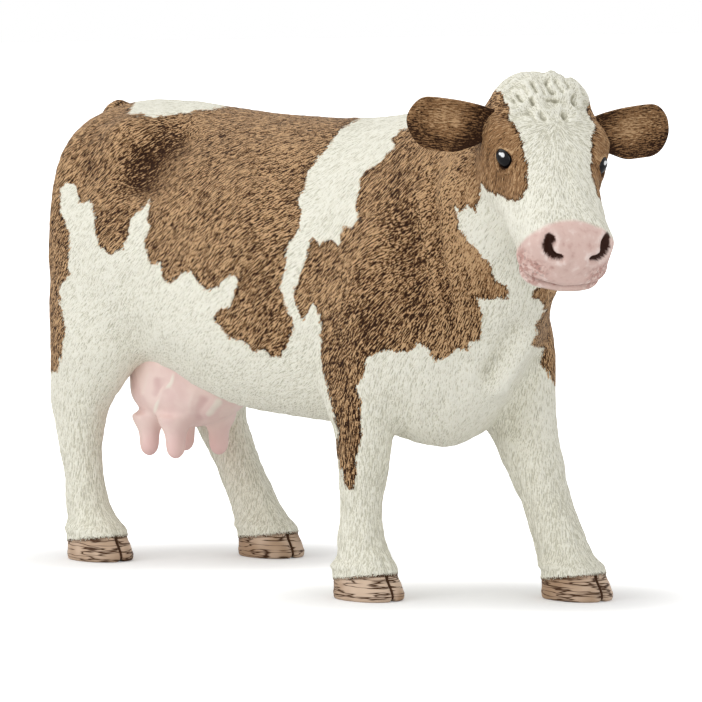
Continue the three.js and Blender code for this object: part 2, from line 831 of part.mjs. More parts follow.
function tailTube() {
  const path = tailPathShares.map(([forward, left, up]) =>
    vector(backX(forward), (left * barrelWidth) / 2, up * backHeight),
  );
  const rows = tailShares.map(([t, half]) => ({ t, half: half * tuftDiameter }));
  return solidOf(taperedTube(new THREE.CatmullRomCurve3(path), rows, 34, smallSides));
}

const tailRoot = vector(backX(0.035), 0, 0.965 * backHeight);

function tailTenon(grow) {
  const frame = frameOf(tailRoot, forwards, leftwards, upwards);
  const half = tailTenonDiameter / 2;
  return placed(tenon(tailTenonLength, half, half, 0, grow), frame);
}

// Assembly

const [frontRight, frontLeft, rearRight, rearLeft] = legs;
const hindLegs = [rearRight, rearLeft];

const carcass = unite([torsoLoft(0), ...legs.map(upperLeg)]);
const neckStub = keepBeyond(carcass, neckSeam, neckDirection);
const headBody = unite([headLoft(0), neckStub, pollTuft(), ...bothSides.map(eye)]);

const legSockets = legs.map((leg) => legTenon(leg, seamGap));
const torso = keepBeyond(carcass, neckSeam, behindNeck)
  .subtract(unite([...legSockets, neckTenon(seamGap), udderTenon(seamGap), tailTenon(seamGap)]))
  .subtract(headLoft(seamGap));

const head = headBody
  .subtract(keepBeyond(carcass, neckSeam, behindNeck))
  .add(neckTenon(0))
  .subtract(unite(bothSides.map(nostril)))
  .subtract(mouth())
  .subtract(unite(bothSides.map((sign) => earTenon(sign, seamGap))))
  .subtract(unite(bothSides.map((sign) => earLoft(sign, seamGap))));

const ear = (sign) =>
  earLoft(sign, 0)
    .subtract(earCup(sign))
    .add(earTenon(sign, 0));

// Where the teats hang, forward and to the left of the middle of the bag.
const teatPlaceShares = [
  [0.06, 0.26],
  [0.1, -0.27],
  [-0.26, 0.24],
  [-0.16, -0.27],
];

const udder = unite([udderBag(), ...teatPlaceShares.map(([along, side]) => teat(along, side))])
  .subtract(torsoLoft(seamGap))
  .subtract(unite(hindLegs.map((leg) => legLoft(leg, seamGap))))
  .add(udderTenon(0));

const tail = tailTube()
  .subtract(torsoLoft(seamGap))
  .subtract(unite(hindLegs.map((leg) => legLoft(leg, seamGap))))
  .add(tailTenon(0));

const paint = (color, roughness) =>
  new THREE.MeshStandardMaterial({ color, roughness, metalness: 0 });
const creamCoat = () => paint(0xe6e4d6, 0.75);
const brownCoat = () => paint(0x8a6344, 0.75);
const udderSkin = () => paint(0xe3c3bd, 0.5);

// Keeps a solid's largest body, without the slivers that a cut can leave beside it.
const largest = (solid) =>
  solid.decompose().reduce((best, next) => (next.volume() > best.volume() ? next : best));

function moulding(name, solid, material, place) {
  const geometry = geometryOf(largest(solid));
  geometry.translate(-place.x, -place.y, -place.z);
  const mesh = new THREE.Mesh(geometry, material);
  mesh.name = name;
  mesh.position.copy(place);
  return mesh;
}

const animal = new THREE.Group();
animal.add(moulding("torso", torso, brownCoat(), vector(0, 0, 0)));
animal.add(moulding("head", head, creamCoat(), skull));
animal.add(moulding("right_ear", ear(-1), brownCoat(), skull));
animal.add(moulding("left_ear", ear(1), brownCoat(), skull));
for (const leg of [frontRight, frontLeft, rearRight, rearLeft]) {
  animal.add(moulding(leg.name, legSolid(leg), creamCoat(), standOf(leg)));
}
animal.add(moulding("udder", udder, udderSkin(), udderPlace));
animal.add(moulding("tail", tail, brownCoat(), tailRoot));

// The origin is on the ground, in the middle of the part's bounding box.
const footprint = new THREE.Box3().setFromObject(animal);
const middle = footprint.getCenter(new THREE.Vector3());
animal.position.set(-middle.x, -middle.y, -footprint.min.z);

const figure = new THREE.Group();
figure.add(animal);

export default figure;
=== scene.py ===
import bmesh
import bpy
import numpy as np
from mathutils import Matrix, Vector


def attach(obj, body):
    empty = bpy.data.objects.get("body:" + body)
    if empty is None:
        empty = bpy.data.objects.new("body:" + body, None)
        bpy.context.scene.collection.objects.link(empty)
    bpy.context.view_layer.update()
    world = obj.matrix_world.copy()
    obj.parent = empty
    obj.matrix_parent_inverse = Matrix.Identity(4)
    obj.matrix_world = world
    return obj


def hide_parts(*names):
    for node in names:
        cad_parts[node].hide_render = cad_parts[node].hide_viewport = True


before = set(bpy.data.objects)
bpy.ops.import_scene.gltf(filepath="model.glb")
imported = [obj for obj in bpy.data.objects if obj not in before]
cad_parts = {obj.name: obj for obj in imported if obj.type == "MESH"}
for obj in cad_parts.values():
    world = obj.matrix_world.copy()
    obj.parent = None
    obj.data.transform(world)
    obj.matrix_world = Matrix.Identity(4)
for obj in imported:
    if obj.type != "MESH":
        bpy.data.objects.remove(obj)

# %% [markdown]
# # A moulded toy cow, painted brown and cream
#
# The figure is a play-farm cow about 13 cm long. In the workshop it would be sculpted once in wax,
# moulded in vinyl as ten pieces, glued on keyed pegs and painted by hand. This lesson follows the
# same order: block out the body from oval sections, smooth the joins, carve folds and hair, cut the
# skin into its mouldings, and paint them.

MM = 0.001                                  # everything below is worked out in millimetres
MIDDLE = np.array([4.6307, -1.0654, 0.0])   # the middle of the figure's box, taken off at the end
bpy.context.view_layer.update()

# %% [markdown]
# ## Sizes
#
# The same driving sizes as the solids. A cow is read as shares of a few lengths: the body, the
# height of the back, the width of the barrel and the three sizes of the head.

# %% Driving sizes
BODY_LENGTH, BACK_HEIGHT, BARREL_WIDTH = 104.0, 72.5, 40.0
HEAD_LENGTH, HEAD_WIDTH, HEAD_DEPTH = 33.0, 17.4, 17.0
EAR_LENGTH, EAR_HEIGHT, EAR_THICKNESS = 12.4, 8.0, 3.6
LEG_DEPTH, LEG_WIDTH = 10.0, 8.2
HOOF_LENGTH, HOOF_WIDTH, HOOF_HEIGHT = 11.4, 9.0, 4.2
UDDER_LENGTH, UDDER_WIDTH, UDDER_HEIGHT = 26.0, 18.0, 16.0
TEAT_LENGTH, TEAT_DIAMETER, TUFT_DIAMETER = 5.4, 3.4, 5.2
HEAD_SIZES = np.array([HEAD_LENGTH, HEAD_WIDTH, HEAD_DEPTH])
HALF = BARREL_WIDTH / 2
RUMP_X = -58.0
X, Y, Z = np.eye(3)
UPRIGHT = (Z, X, Y)                         # axes of a loft that stands up: along, left, up
MIRROR = np.array([1, -1, 1])               # carries a point to the other side


def back_x(share):
    return RUMP_X + share * BODY_LENGTH


# %% [markdown]
# ## Lofts
#
# A loft carries an oval section along an axis. Rows of a table give the section at a few stations
# and a smooth curve reads it anywhere between them, so the whole skin is one function of two
# parameters: the place along the axis and the angle round it.

# %% The loft
DOME_RINGS = 8


def rows_of(*columns):
    """The rows of a table from its columns, any of which may be one number."""
    return np.stack(np.broadcast_arrays(*(np.asarray(column, float) for column in columns)), 1)


def round_angles(count):
    return np.arange(count) * 2 * np.pi / count


def unit(v):
    """A vector, or one in every row, made one long."""
    v = np.asarray(v, float)
    return v / np.maximum(np.linalg.norm(v, axis=-1, keepdims=True), 1e-9)


def read_rows(rows, t):
    """Every column of the rows at the places t: a cubic between two rows, with slopes taken as the
    harmonic mean of the chords on both sides, so that a curve never swings past its rows."""
    ts, vs = rows[:, 0], rows[:, 1:]
    chord = np.diff(vs, axis=0) / np.diff(ts)[:, None]
    slope = np.concatenate([chord[:1], np.zeros_like(chord[1:]), chord[-1:]])
    a, b = chord[:-1], chord[1:]
    slope[1:-1] = np.where(a * b > 0, 2 * a * b / np.where(a + b == 0, 1, a + b), 0)
    i = np.clip(np.searchsorted(ts, t, side="right") - 1, 0, len(ts) - 2)
    h = (ts[i + 1] - ts[i])[:, None]
    s = np.clip((t - ts[i])[:, None] / h, 0, 1)
    return ((2 * s**3 - 3 * s**2 + 1) * vs[i] + (s**3 - 2 * s**2 + s) * h * slope[i]
            + (3 * s**2 - 2 * s**3) * vs[i + 1] + (s**3 - s**2) * h * slope[i + 1])


def ring_faces(rings, sides):
    """Quads between neighbouring rings and a fan of triangles to the middle of each end."""
    a = (np.arange(rings - 1)[:, None] * sides + np.arange(sides)).ravel()
    b = (np.arange(rings - 1)[:, None] * sides + (np.arange(sides) + 1) % sides).ravel()
    quads = np.stack([a, b, b + sides, a + sides], 1)
    j = np.arange(sides)
    k = (j + 1) % sides
    last, hub = (rings - 1) * sides, rings * sides
    start = np.stack([np.full(sides, hub), k, j], 1)
    end = np.stack([np.full(sides, hub + 1), last + j, last + k], 1)
    return [*quads.tolist(), *start.tolist(), *end.tolist()]


def loft(rows, grid, domes=(0, 0), bumps=()):
    """Points of a closed loft along local X. Columns: place, centre u and v, half sizes left, right,
    up and down, and the powers of the upper and lower oval. A domed end follows a quarter circle.
    Each bump lifts the skin near a point by its lift times exp(-(distance / size) squared)."""
    steps, sides = grid
    start, end = rows[0, 0], rows[-1, 0]
    turn = np.arange(1, DOME_RINGS + 1) / (DOME_RINGS + 1) * np.pi / 2
    first, last = start + domes[0], end - domes[1]
    head = (first - domes[0] * np.cos(turn), np.sin(turn)) if domes[0] else ([], [])
    tail = (last + domes[1] * np.cos(turn[::-1]), np.sin(turn[::-1])) if domes[1] else ([], [])
    t = np.concatenate([head[0], np.linspace(first, last, steps + 1), tail[0]])
    scale = np.concatenate([head[1], np.ones(steps + 1), tail[1]])[:, None]
    u, v, left, right, up, down, upper, lower = (c[:, None] for c in read_rows(rows, t).T)
    angle = round_angles(sides)
    c, s = np.cos(angle)[None], np.sin(angle)[None]
    power = 2 / np.where(s >= 0, upper, lower)
    du = np.sign(c) * np.abs(c) ** power * np.where(c >= 0, left, right) * scale
    dv = np.sign(s) * np.abs(s) ** power * np.where(s >= 0, up, down) * scale
    reach = np.hypot(du, dv)
    push = np.zeros_like(du)
    for at, size, lift in bumps:
        away = ((t[:, None] - at[0]) ** 2 + (u + du - at[1]) ** 2 + (v + dv - at[2]) ** 2) / size**2
        push += lift * np.exp(-away)
    du, dv = du * (1 + push / reach), dv * (1 + push / reach)
    points = np.stack([np.broadcast_to(t[:, None], du.shape), u + du, v + dv], -1).reshape(-1, 3)
    ends = read_rows(rows, np.array([start, end]))
    hubs = np.array([[start, ends[0, 0], ends[0, 1]], [end, ends[1, 0], ends[1, 1]]])
    return np.concatenate([points, hubs]), ring_faces(len(t), sides)


def placed(shape, origin, axes):
    """Carries a shape's points into the figure: origin + along * x + left * y + up * z."""
    points, faces = shape
    return np.asarray(origin) + points @ np.asarray(axes, float), faces


def turn_about(axis, degrees):
    return np.array(Matrix.Rotation(np.radians(degrees), 3, axis))


# %% [markdown]
# ## The torso
#
# Barrel, rump and shoulders are one loft from the tail to the throat. Bumps stand for what lies
# under the hide: hook and pin bones, the thigh, the shoulder blade, and the hollows between them.

# %% Torso table
TORSO_GRID, TORSO_DOMES = (150, 140), (0.045, 0.05)   # steps along and points round; shares of length
TORSO = np.array([  # place, top, middle, low, width, shift, powers of the upper and lower oval
    [0.0, 0.88, 0.76, 0.6, 0.6, 0, 2.6, 2.4],
    [0.04, 0.975, 0.73, 0.45, 0.81, 0, 2.6, 2.4],
    [0.1, 1.004, 0.71, 0.41, 0.86, 0, 2.2, 2.4],
    [0.18, 1.005, 0.7, 0.42, 0.9, 0, 2.0, 2.4],
    [0.26, 0.998, 0.66, 0.4, 0.91, 0, 1.85, 2.3],
    [0.34, 0.99, 0.61, 0.365, 0.96, 0, 1.8, 2.2],
    [0.44, 0.982, 0.58, 0.345, 1.0, 0, 1.9, 2.2],
    [0.54, 0.98, 0.58, 0.34, 0.98, 0, 1.9, 2.2],
    [0.64, 0.985, 0.58, 0.335, 0.92, 0, 1.85, 2.1],
    [0.73, 0.996, 0.58, 0.318, 0.87, 0, 1.8, 1.9],
    [0.8, 1.002, 0.6, 0.308, 0.83, 0, 1.75, 1.8],
    [0.865, 1.002, 0.62, 0.365, 0.72, -0.02, 1.8, 1.7],
    [0.92, 1.005, 0.68, 0.455, 0.56, -0.05, 1.9, 1.7],
    [0.965, 1.015, 0.75, 0.55, 0.45, -0.08, 2.0, 1.9],
    [1.0, 1.02, 0.79, 0.61, 0.4, -0.1, 2.0, 2.0],
    [1.04, 1.0, 0.82, 0.66, 0.36, -0.12, 2.0, 2.0],
])
TORSO_BUMPS = [  # place, side and height; size and lift in half widths
    (0.17, 0.62, 0.95, 0.2, 0.1), (0.04, 0.4, 0.88, 0.18, 0.05), (0.27, 0.62, 0.87, 0.3, -0.1),
    (0.12, 0.75, 0.82, 0.22, -0.05), (0.1, 0.85, 0.6, 0.5, 0.07), (0.79, 0.8, 0.66, 0.36, 0.06),
    (0.78, 0.8, 0.47, 0.4, 0.07), (0.89, 0.6, 0.72, 0.26, -0.08), (0.66, 0.8, 0.5, 0.26, -0.04),
]


def torso_shape():
    place, top, mid, low, width, shift, upper, lower = TORSO.T
    half = width * HALF
    rows = rows_of(back_x(place), shift * HALF, mid * BACK_HEIGHT, half, half,
                   (top - mid) * BACK_HEIGHT, (mid - low) * BACK_HEIGHT, upper, lower)
    bumps = [((back_x(p), side * s * HALF, h * BACK_HEIGHT), size * HALF, lift * HALF)
             for p, s, h, size, lift in TORSO_BUMPS for side in (1, -1)]
    return loft(rows, TORSO_GRID, [share * BODY_LENGTH for share in TORSO_DOMES], bumps)


# %% [markdown]
# ## The legs
#
# The cow walks: both left legs are ahead of the right ones. Each leg is an upright loft whose
# centre wanders forward and back with the bones, and whose lowest rows are the hoof.

# %% Leg tables
LEG_GRID, THIGH_DOME, HOOF_POWER = (110, 72), 0.06, 2.3
# Rows of a leg: height, forward, outward, half sizes to the front and back, half width
STRAIGHT_FORE = [
    [0.085, -0.004, 0.0, 0.42, 0.46, 0.46], [0.12, -0.012, 0.0, 0.36, 0.4, 0.42],
    [0.18, -0.012, 0.0, 0.32, 0.34, 0.36], [0.24, -0.01, 0.0, 0.37, 0.36, 0.42],
    [0.28, -0.008, 0.0, 0.42, 0.38, 0.46], [0.34, -0.008, 0.0, 0.5, 0.5, 0.5],
    [0.42, -0.01, 0.02, 0.7, 0.76, 0.58], [0.52, -0.004, 0.03, 0.95, 1.0, 0.64],
    [0.66, 0.0, -0.04, 1.0, 1.05, 0.56], [0.78, 0.0, -0.2, 0.8, 0.85, 0.4]]
STRIDE_FORE = [
    [0.085, -0.016, 0.0, 0.42, 0.54, 0.46], [0.12, -0.03, 0.0, 0.4, 0.5, 0.45],
    [0.18, -0.052, 0.0, 0.37, 0.5, 0.42], [0.24, -0.075, 0.0, 0.4, 0.57, 0.46],
    [0.28, -0.086, 0.0, 0.42, 0.66, 0.5], [0.34, -0.105, 0.0, 0.5, 0.8, 0.55],
    [0.42, -0.13, 0.02, 0.7, 0.95, 0.6], [0.52, -0.15, 0.02, 0.9, 1.0, 0.62],
    [0.66, -0.18, -0.06, 0.95, 1.0, 0.54], [0.78, -0.21, -0.22, 0.75, 0.8, 0.4]]
STRAIGHT_HIND = [
    [0.085, -0.012, 0.0, 0.42, 0.46, 0.46], [0.12, -0.026, 0.0, 0.34, 0.4, 0.42],
    [0.19, -0.036, 0.0, 0.31, 0.36, 0.37], [0.26, -0.044, 0.0, 0.38, 0.44, 0.41],
    [0.32, -0.044, 0.0, 0.54, 0.6, 0.46], [0.38, -0.03, 0.0, 0.8, 0.76, 0.55],
    [0.46, -0.002, 0.02, 1.06, 0.96, 0.66], [0.58, 0.02, 0.03, 1.24, 1.2, 0.7],
    [0.72, 0.03, -0.06, 1.2, 1.2, 0.6], [0.85, 0.03, -0.22, 0.95, 1.0, 0.44]]
STRIDE_HIND = [
    [0.085, -0.018, 0.0, 0.42, 0.54, 0.48], [0.12, -0.036, 0.0, 0.4, 0.52, 0.44],
    [0.19, -0.07, 0.0, 0.38, 0.52, 0.4], [0.26, -0.105, 0.0, 0.44, 0.58, 0.44],
    [0.32, -0.13, 0.0, 0.58, 0.7, 0.48], [0.38, -0.14, 0.0, 0.82, 0.8, 0.56],
    [0.46, -0.13, 0.02, 1.06, 0.96, 0.66], [0.58, -0.11, 0.03, 1.24, 1.2, 0.7],
    [0.72, -0.1, -0.06, 1.2, 1.2, 0.6], [0.85, -0.1, -0.22, 0.95, 1.0, 0.44]]
HOOF = [  # height, forward, half sizes to the front and back, half width: shares of the hoof
    [0.0, 0.0, 0.54, 0.44, 0.5], [0.12, 0.0, 0.56, 0.45, 0.51],
    [1.0, -0.06, 0.46, 0.42, 0.46], [1.1, -0.08, 0.46, 0.46, 0.5]]
LEGS = {  # name: place along the body, side, height of the seam, table
    "front_right_leg": (0.75, -0.6, 0.3, STRAIGHT_FORE),
    "front_left_leg": (0.94, 0.6, 0.3, STRIDE_FORE),
    "rear_right_leg": (0.11, -0.6, 0.35, STRAIGHT_HIND),
    "rear_left_leg": (0.24, 0.6, 0.35, STRIDE_HIND),
}


def leg_shape(place, side, seam, table):
    h, forward, front, back, width = np.array(HOOF).T
    hoof = rows_of(h * HOOF_HEIGHT, forward * HOOF_LENGTH, 0, front * HOOF_LENGTH, back * HOOF_LENGTH,
                   width * HOOF_WIDTH, width * HOOF_WIDTH, HOOF_POWER, HOOF_POWER)
    h, forward, out, front, back, width = np.array(table).T
    limb = rows_of(h * BACK_HEIGHT, forward * BODY_LENGTH, np.sign(side) * out * HALF,
                   front * LEG_DEPTH, back * LEG_DEPTH, width * LEG_WIDTH, width * LEG_WIDTH, 2, 2)
    shape = loft(np.concatenate([hoof, limb]), LEG_GRID, (0, THIGH_DOME * BACK_HEIGHT))
    return placed(shape, (back_x(place), side * HALF, 0), UPRIGHT)


# %% [markdown]
# ## The head
#
# One loft from the back of the skull to the nose, turned to the cow's right, nose down, with a
# round cap of curls between the ears.

# %% Head tables
HEAD_YAW, HEAD_PITCH, HEAD_ROLL = -29.0, 36.0, -6.0
SKULL = np.array([back_x(1.002), -0.13 * HALF, 0.99 * BACK_HEIGHT])     # where the head's axes start
HEAD_TURN = turn_about("Z", HEAD_YAW) @ turn_about("Y", HEAD_PITCH) @ turn_about("X", HEAD_ROLL)
HEAD_GRID, HEAD_DOMES = (120, 110), (0.12, 0.14)
HEAD = np.array([  # place, half sizes up and down, half width, powers of the upper and lower oval
    [-0.1, 0.3, 0.36, 0.4, 2.0, 2.0], [0.0, 0.42, 0.48, 0.48, 2.2, 2.0],
    [0.12, 0.46, 0.56, 0.5, 2.5, 2.0], [0.26, 0.43, 0.6, 0.5, 2.6, 2.0],
    [0.38, 0.37, 0.56, 0.48, 2.5, 2.0], [0.5, 0.31, 0.48, 0.43, 2.4, 2.1],
    [0.62, 0.27, 0.41, 0.38, 2.4, 2.2], [0.74, 0.25, 0.39, 0.36, 2.3, 2.6],
    [0.84, 0.27, 0.42, 0.38, 2.3, 3.0], [0.92, 0.27, 0.45, 0.38, 2.3, 3.4],
    [1.0, 0.23, 0.4, 0.34, 2.3, 3.4]])
HEAD_BUMPS = [(0.27, 0.46, 0.22, 0.16, 0.06), (0.3, 0.5, -0.3, 0.26, 0.05),
              (0.5, 0.36, 0.02, 0.2, -0.05), (0.95, 0.26, 0.16, 0.14, 0.02)]
TUFT_GRID, TUFT_AT, TUFT_HEIGHT, TUFT_DOME = (24, 64), (0.09, 0, 0.12), 7.6, 0.6
TUFT = [[0.0, 0.3, 0.24], [0.4, 0.42, 0.32], [0.75, 0.4, 0.31], [1.0, 0.3, 0.24]]


def head_size(shares, side=1):
    """Shares of the head's three sizes as mm in its own axes, on its left or right side."""
    return np.array(shares) * HEAD_SIZES * [1, side, 1]


def in_head(points):
    """Points of the figure in the head's own axes: along it, to its left and up."""
    return (points - SKULL) @ HEAD_TURN


def head_shape():
    place, up, down, width, upper, lower = HEAD.T
    half = width * HEAD_WIDTH
    rows = rows_of(place * HEAD_LENGTH, 0, 0, half, half, up * HEAD_DEPTH, down * HEAD_DEPTH, upper, lower)
    bumps = [(head_size((p, o, h), side), size * HEAD_WIDTH, lift * HEAD_WIDTH)
             for p, o, h, size, lift in HEAD_BUMPS for side in (1, -1)]
    shape = loft(rows, HEAD_GRID, [share * HEAD_LENGTH for share in HEAD_DOMES], bumps)
    return placed(shape, SKULL, HEAD_TURN.T)


def tuft_shape():
    """The round cap of curls stands upright between the ears, turned with the head."""
    place, width, depth = np.array(TUFT).T
    thick, wide = depth * HEAD_WIDTH, width * HEAD_WIDTH
    rows = rows_of(place * TUFT_HEIGHT, 0, 0, thick, thick, wide, wide, 2, 2)
    base = SKULL + HEAD_TURN @ head_size(TUFT_AT)
    axes = np.array(UPRIGHT) @ turn_about("Z", HEAD_YAW).T
    return placed(loft(rows, TUFT_GRID, (0, TUFT_DOME * TUFT_HEIGHT)), base, axes)


# %% [markdown]
# ## One skin
#
# A sculptor blends the limbs into the barrel with a thumb. Here the overlapping lofts are wrapped
# in one even skin by voxels, and the skin is then relaxed: each point moves towards the mean of
# its neighbours, a lot near the joins and hardly at all on hooves and lips.

# %% Wrap and relax
def linked(name, data):
    made = bpy.data.objects.new(name, data)
    bpy.context.scene.collection.objects.link(made)
    return made


def mesh_of(name, points, faces):
    mesh = bpy.data.meshes.new(name)
    mesh.from_pydata(np.asarray(points, float).tolist(), [], faces)
    mesh.update()
    return mesh


def wrapped(name, shapes, voxel):
    """One closed skin round overlapping shapes, as an array of points and one of quads."""
    points, faces, base = [], [], 0
    for p, f in shapes:
        points.append(p)
        faces += [[i + base for i in face] for face in f]
        base += len(p)
    solid = linked(name, mesh_of(name, np.concatenate(points), faces))
    wrap = solid.modifiers.new("wrap", "REMESH")
    wrap.mode, wrap.voxel_size = "VOXEL", voxel
    graph = bpy.context.evaluated_depsgraph_get()
    done = bpy.data.meshes.new_from_object(solid.evaluated_get(graph))
    bpy.data.objects.remove(solid)
    v = np.empty(len(done.vertices) * 3)
    done.vertices.foreach_get("co", v)
    f = np.empty(len(done.loops), int)
    done.loops.foreach_get("vertex_index", f)
    print(f"{name}: {len(done.vertices)} points, {len(done.polygons)} quads")
    return v.reshape(-1, 3), f.reshape(-1, 4)


def neighbours(quads):
    """Every edge of the quads once, as two columns of point numbers."""
    e = np.concatenate([quads[:, [0, 1]], quads[:, [1, 2]], quads[:, [2, 3]], quads[:, [3, 0]]])
    return np.unique(np.sort(e, 1), axis=0)


def relaxed(points, edges, weight, rounds):
    """Moves each point by its weight, one for all or one for each, towards the mean of its
    neighbours, a number of times."""
    a, b = edges.T
    n = len(points)
    count = np.bincount(a, minlength=n) + np.bincount(b, minlength=n)
    weight = np.reshape(weight, (-1, 1))
    for _ in range(rounds):
        mean = np.stack([np.bincount(a, points[b, k], n) + np.bincount(b, points[a, k], n)
                         for k in range(3)], 1) / count[:, None]
        points = points + weight * (mean - points)
    return points


def normals_of(points, quads):
    """Unit normals: the cross product of a quad's diagonals is shared out to its corners."""
    a, b, c, d = (points[corner] for corner in quads.T)
    cross = np.cross(c - a, d - b)
    return unit(np.stack([np.bincount(quads.ravel(), np.repeat(cross[:, k], 4), len(points))
                          for k in range(3)], 1))


def step(low, high, x):
    """0 below low, 1 above high, and a smooth rise between them."""
    s = np.clip((x - low) / (high - low), 0, 1)
    return s * s * (3 - 2 * s)


def bell(x, width=1.0):
    """exp(-(x / width) squared): 1 at the middle, and almost nothing two widths away."""
    return np.exp(-((x / width) ** 2))


print("lofts ready")

# %% [markdown]
# ## The viewing angle
#
# The coat's patches and the big folds are drawn as they look from the camera, so the camera comes
# first. It is a long lens 80 cm away, a little above the cow's back, on its front right. Drawing
# through the lens keeps an outline true on a curved flank, where a side view would stretch it.

# %% The camera and its picture of a point
FRAME_PX = 702                              # the frame is square, and this is its side in pixels
FOCAL_PX = 5220.6                           # the lens, in the same pixels
SENSOR_WIDTH = 36.0
EYE_POINT = np.array([614.5, -508.6, 95.8])
AIM_POINT = np.array([0.74, 0.89, 35.3])
AHEAD = unit(AIM_POINT - EYE_POINT)
RIGHTWARD = unit(np.cross(AHEAD, Z))
UPWARD = np.cross(RIGHTWARD, AHEAD)


def picture(points):
    """Where the camera sees points: their place to the right and up, over their depth, in pixels."""
    q = (points - EYE_POINT) @ np.stack([RIGHTWARD, UPWARD, AHEAD]).T
    return FRAME_PX / 2 + FOCAL_PX * q[:, :2] / q[:, 2:] * [1, -1]


def facing(normals):
    """1 on skin that looks at the camera and -1 on skin that looks away."""
    return -normals @ AHEAD


lens = bpy.data.cameras.new("camera")
lens.lens, lens.sensor_width = FOCAL_PX / FRAME_PX * SENSOR_WIDTH, SENSOR_WIDTH
lens.clip_start, lens.clip_end = 0.01, 20
camera = linked("camera", lens)
camera.location = (EYE_POINT - MIDDLE) * MM
camera.rotation_euler = Vector(AHEAD).to_track_quat("-Z", "Y").to_euler()
bpy.context.scene.camera = camera
print(f"lens {lens.lens:.1f} mm, {np.linalg.norm(EYE_POINT - AIM_POINT):.0f} mm away")

# %% [markdown]
# ## Carving
#
# With the body in one skin, folds and wrinkles are carved as strokes of a round tool. A stroke is a
# path, and its depth falls off from it as a bell curve. Strokes drawn in the picture are carved
# twice: on the near side, and mirrored on the far side, where they stay out of the picture.

# %% Strokes
PX_PER_MM = 6.45                            # at the middle of the figure
BELL_REACH, FADE = 2.5, 0.25                # widths that a stroke reaches; share of it that fades


def off_path(places, path):
    """Distance of places from a path of straight pieces, and how far along the path, from 0 to 1."""
    path = np.asarray(path, float)
    best = np.full(len(places), np.inf)
    along = np.zeros(len(places))
    lengths = np.linalg.norm(np.diff(path, axis=0), axis=1)
    before_piece = np.concatenate([[0], np.cumsum(lengths)])
    for i, (a, b) in enumerate(zip(path[:-1], path[1:])):
        t = np.clip((places - a) @ (b - a) / lengths[i] ** 2, 0, 1)
        d = np.linalg.norm(places - a - t[:, None] * (b - a), axis=1)
        nearer = d < best
        best = np.where(nearer, d, best)
        along = np.where(nearer, (before_piece[i] + t * lengths[i]) / before_piece[-1], along)
    return best, along


def stroke(places, path, width, lift):
    """lift * exp(-(distance / width) squared), fading to nothing over both ends of the path."""
    path = np.asarray(path, float)
    reach = BELL_REACH * width
    near = np.all((places > path.min(0) - reach) & (places < path.max(0) + reach), axis=1)
    d, along = off_path(places[near], path)
    total = np.zeros(len(places))
    total[near] = lift * bell(d, width) * step(0, FADE, along) * (1 - step(1 - FADE, 1, along))
    return total


def drawn(places, strokes, scale=PX_PER_MM):
    """The sum of strokes whose widths are in mm, on places with that many units in a mm."""
    return sum(stroke(places, path, width * scale, lift) for path, width, lift in strokes)


# %% [markdown]
# The torso's strokes: the hollow in front of the hip, the groove between neck and shoulder, the
# wavy wrinkles of a turned neck, the dewlap's folds, the elbow and the stifle. The curls of the poll
# are grooves drawn between the ears.

# %% Folds of the torso, curls of the poll, and strokes of painted shade and painted light
FOLDS = [  # path in the picture, width in mm, lift in mm
    ([(205, 128), (170, 140), (150, 156), (139, 180), (141, 208)], 2.6, -1.3),
    ([(176, 122), (150, 128), (128, 146)], 3.0, 0.5),
    ([(214, 150), (186, 162), (168, 190), (162, 230)], 3.4, 0.45),
    ([(120, 215), (112, 260), (118, 310), (130, 345)], 3.2, 0.5),
    ([(132, 262), (126, 310), (140, 350)], 2.4, -0.45),
    ([(402, 190), (408, 230), (418, 290), (424, 345)], 3.2, -0.9),
    ([(376, 200), (374, 260), (380, 320)], 4.2, 0.55),
    ([(360, 250), (350, 300), (345, 350)], 4.0, 0.4),
    ([(330, 300), (338, 350), (352, 400)], 2.6, -0.35),
    ([(437, 150), (433, 200), (440, 250), (446, 300), (462, 350)], 0.9, -0.42),
    ([(424, 160), (422, 210), (430, 260), (438, 320)], 1.1, 0.3),
    ([(452, 140), (449, 190), (452, 235), (470, 290), (476, 345)], 0.8, -0.4),
    ([(445, 150), (441, 200), (448, 260), (458, 320)], 1.0, 0.35),
    ([(466, 150), (462, 190), (462, 235), (484, 285), (492, 330)], 0.8, -0.4),
    ([(455, 250), (447, 290), (452, 340), (468, 372)], 1.0, -0.4),
    ([(526, 316), (510, 338), (494, 364), (476, 392)], 1.5, -1.1),
    ([(540, 320), (522, 344), (506, 372), (488, 404)], 1.2, 1.7),
    ([(552, 350), (534, 370), (510, 402)], 1.5, -0.8),
    ([(500, 330), (488, 340), (476, 362), (466, 378)], 1.6, -0.4),
    ([(490, 345), (476, 368), (470, 384)], 1.4, 0.35),
    ([(464, 350), (462, 376), (454, 404)], 1.6, -0.3),
    ([(448, 396), (436, 410), (424, 426)], 1.5, -0.25),
    ([(380, 396), (400, 404), (420, 402)], 1.8, -0.25),
    ([(500, 398), (514, 410), (520, 430), (512, 446)], 2.6, -0.6),
    ([(300, 140), (294, 210), (300, 280), (306, 330)], 5.0, -0.35),
    ([(240, 160), (232, 220), (238, 290)], 5.0, 0.35),
    ([(150, 342), (190, 366), (226, 390)], 1.8, -0.4),
    ([(96, 380), (104, 410), (104, 440)], 2.2, -0.3),
]
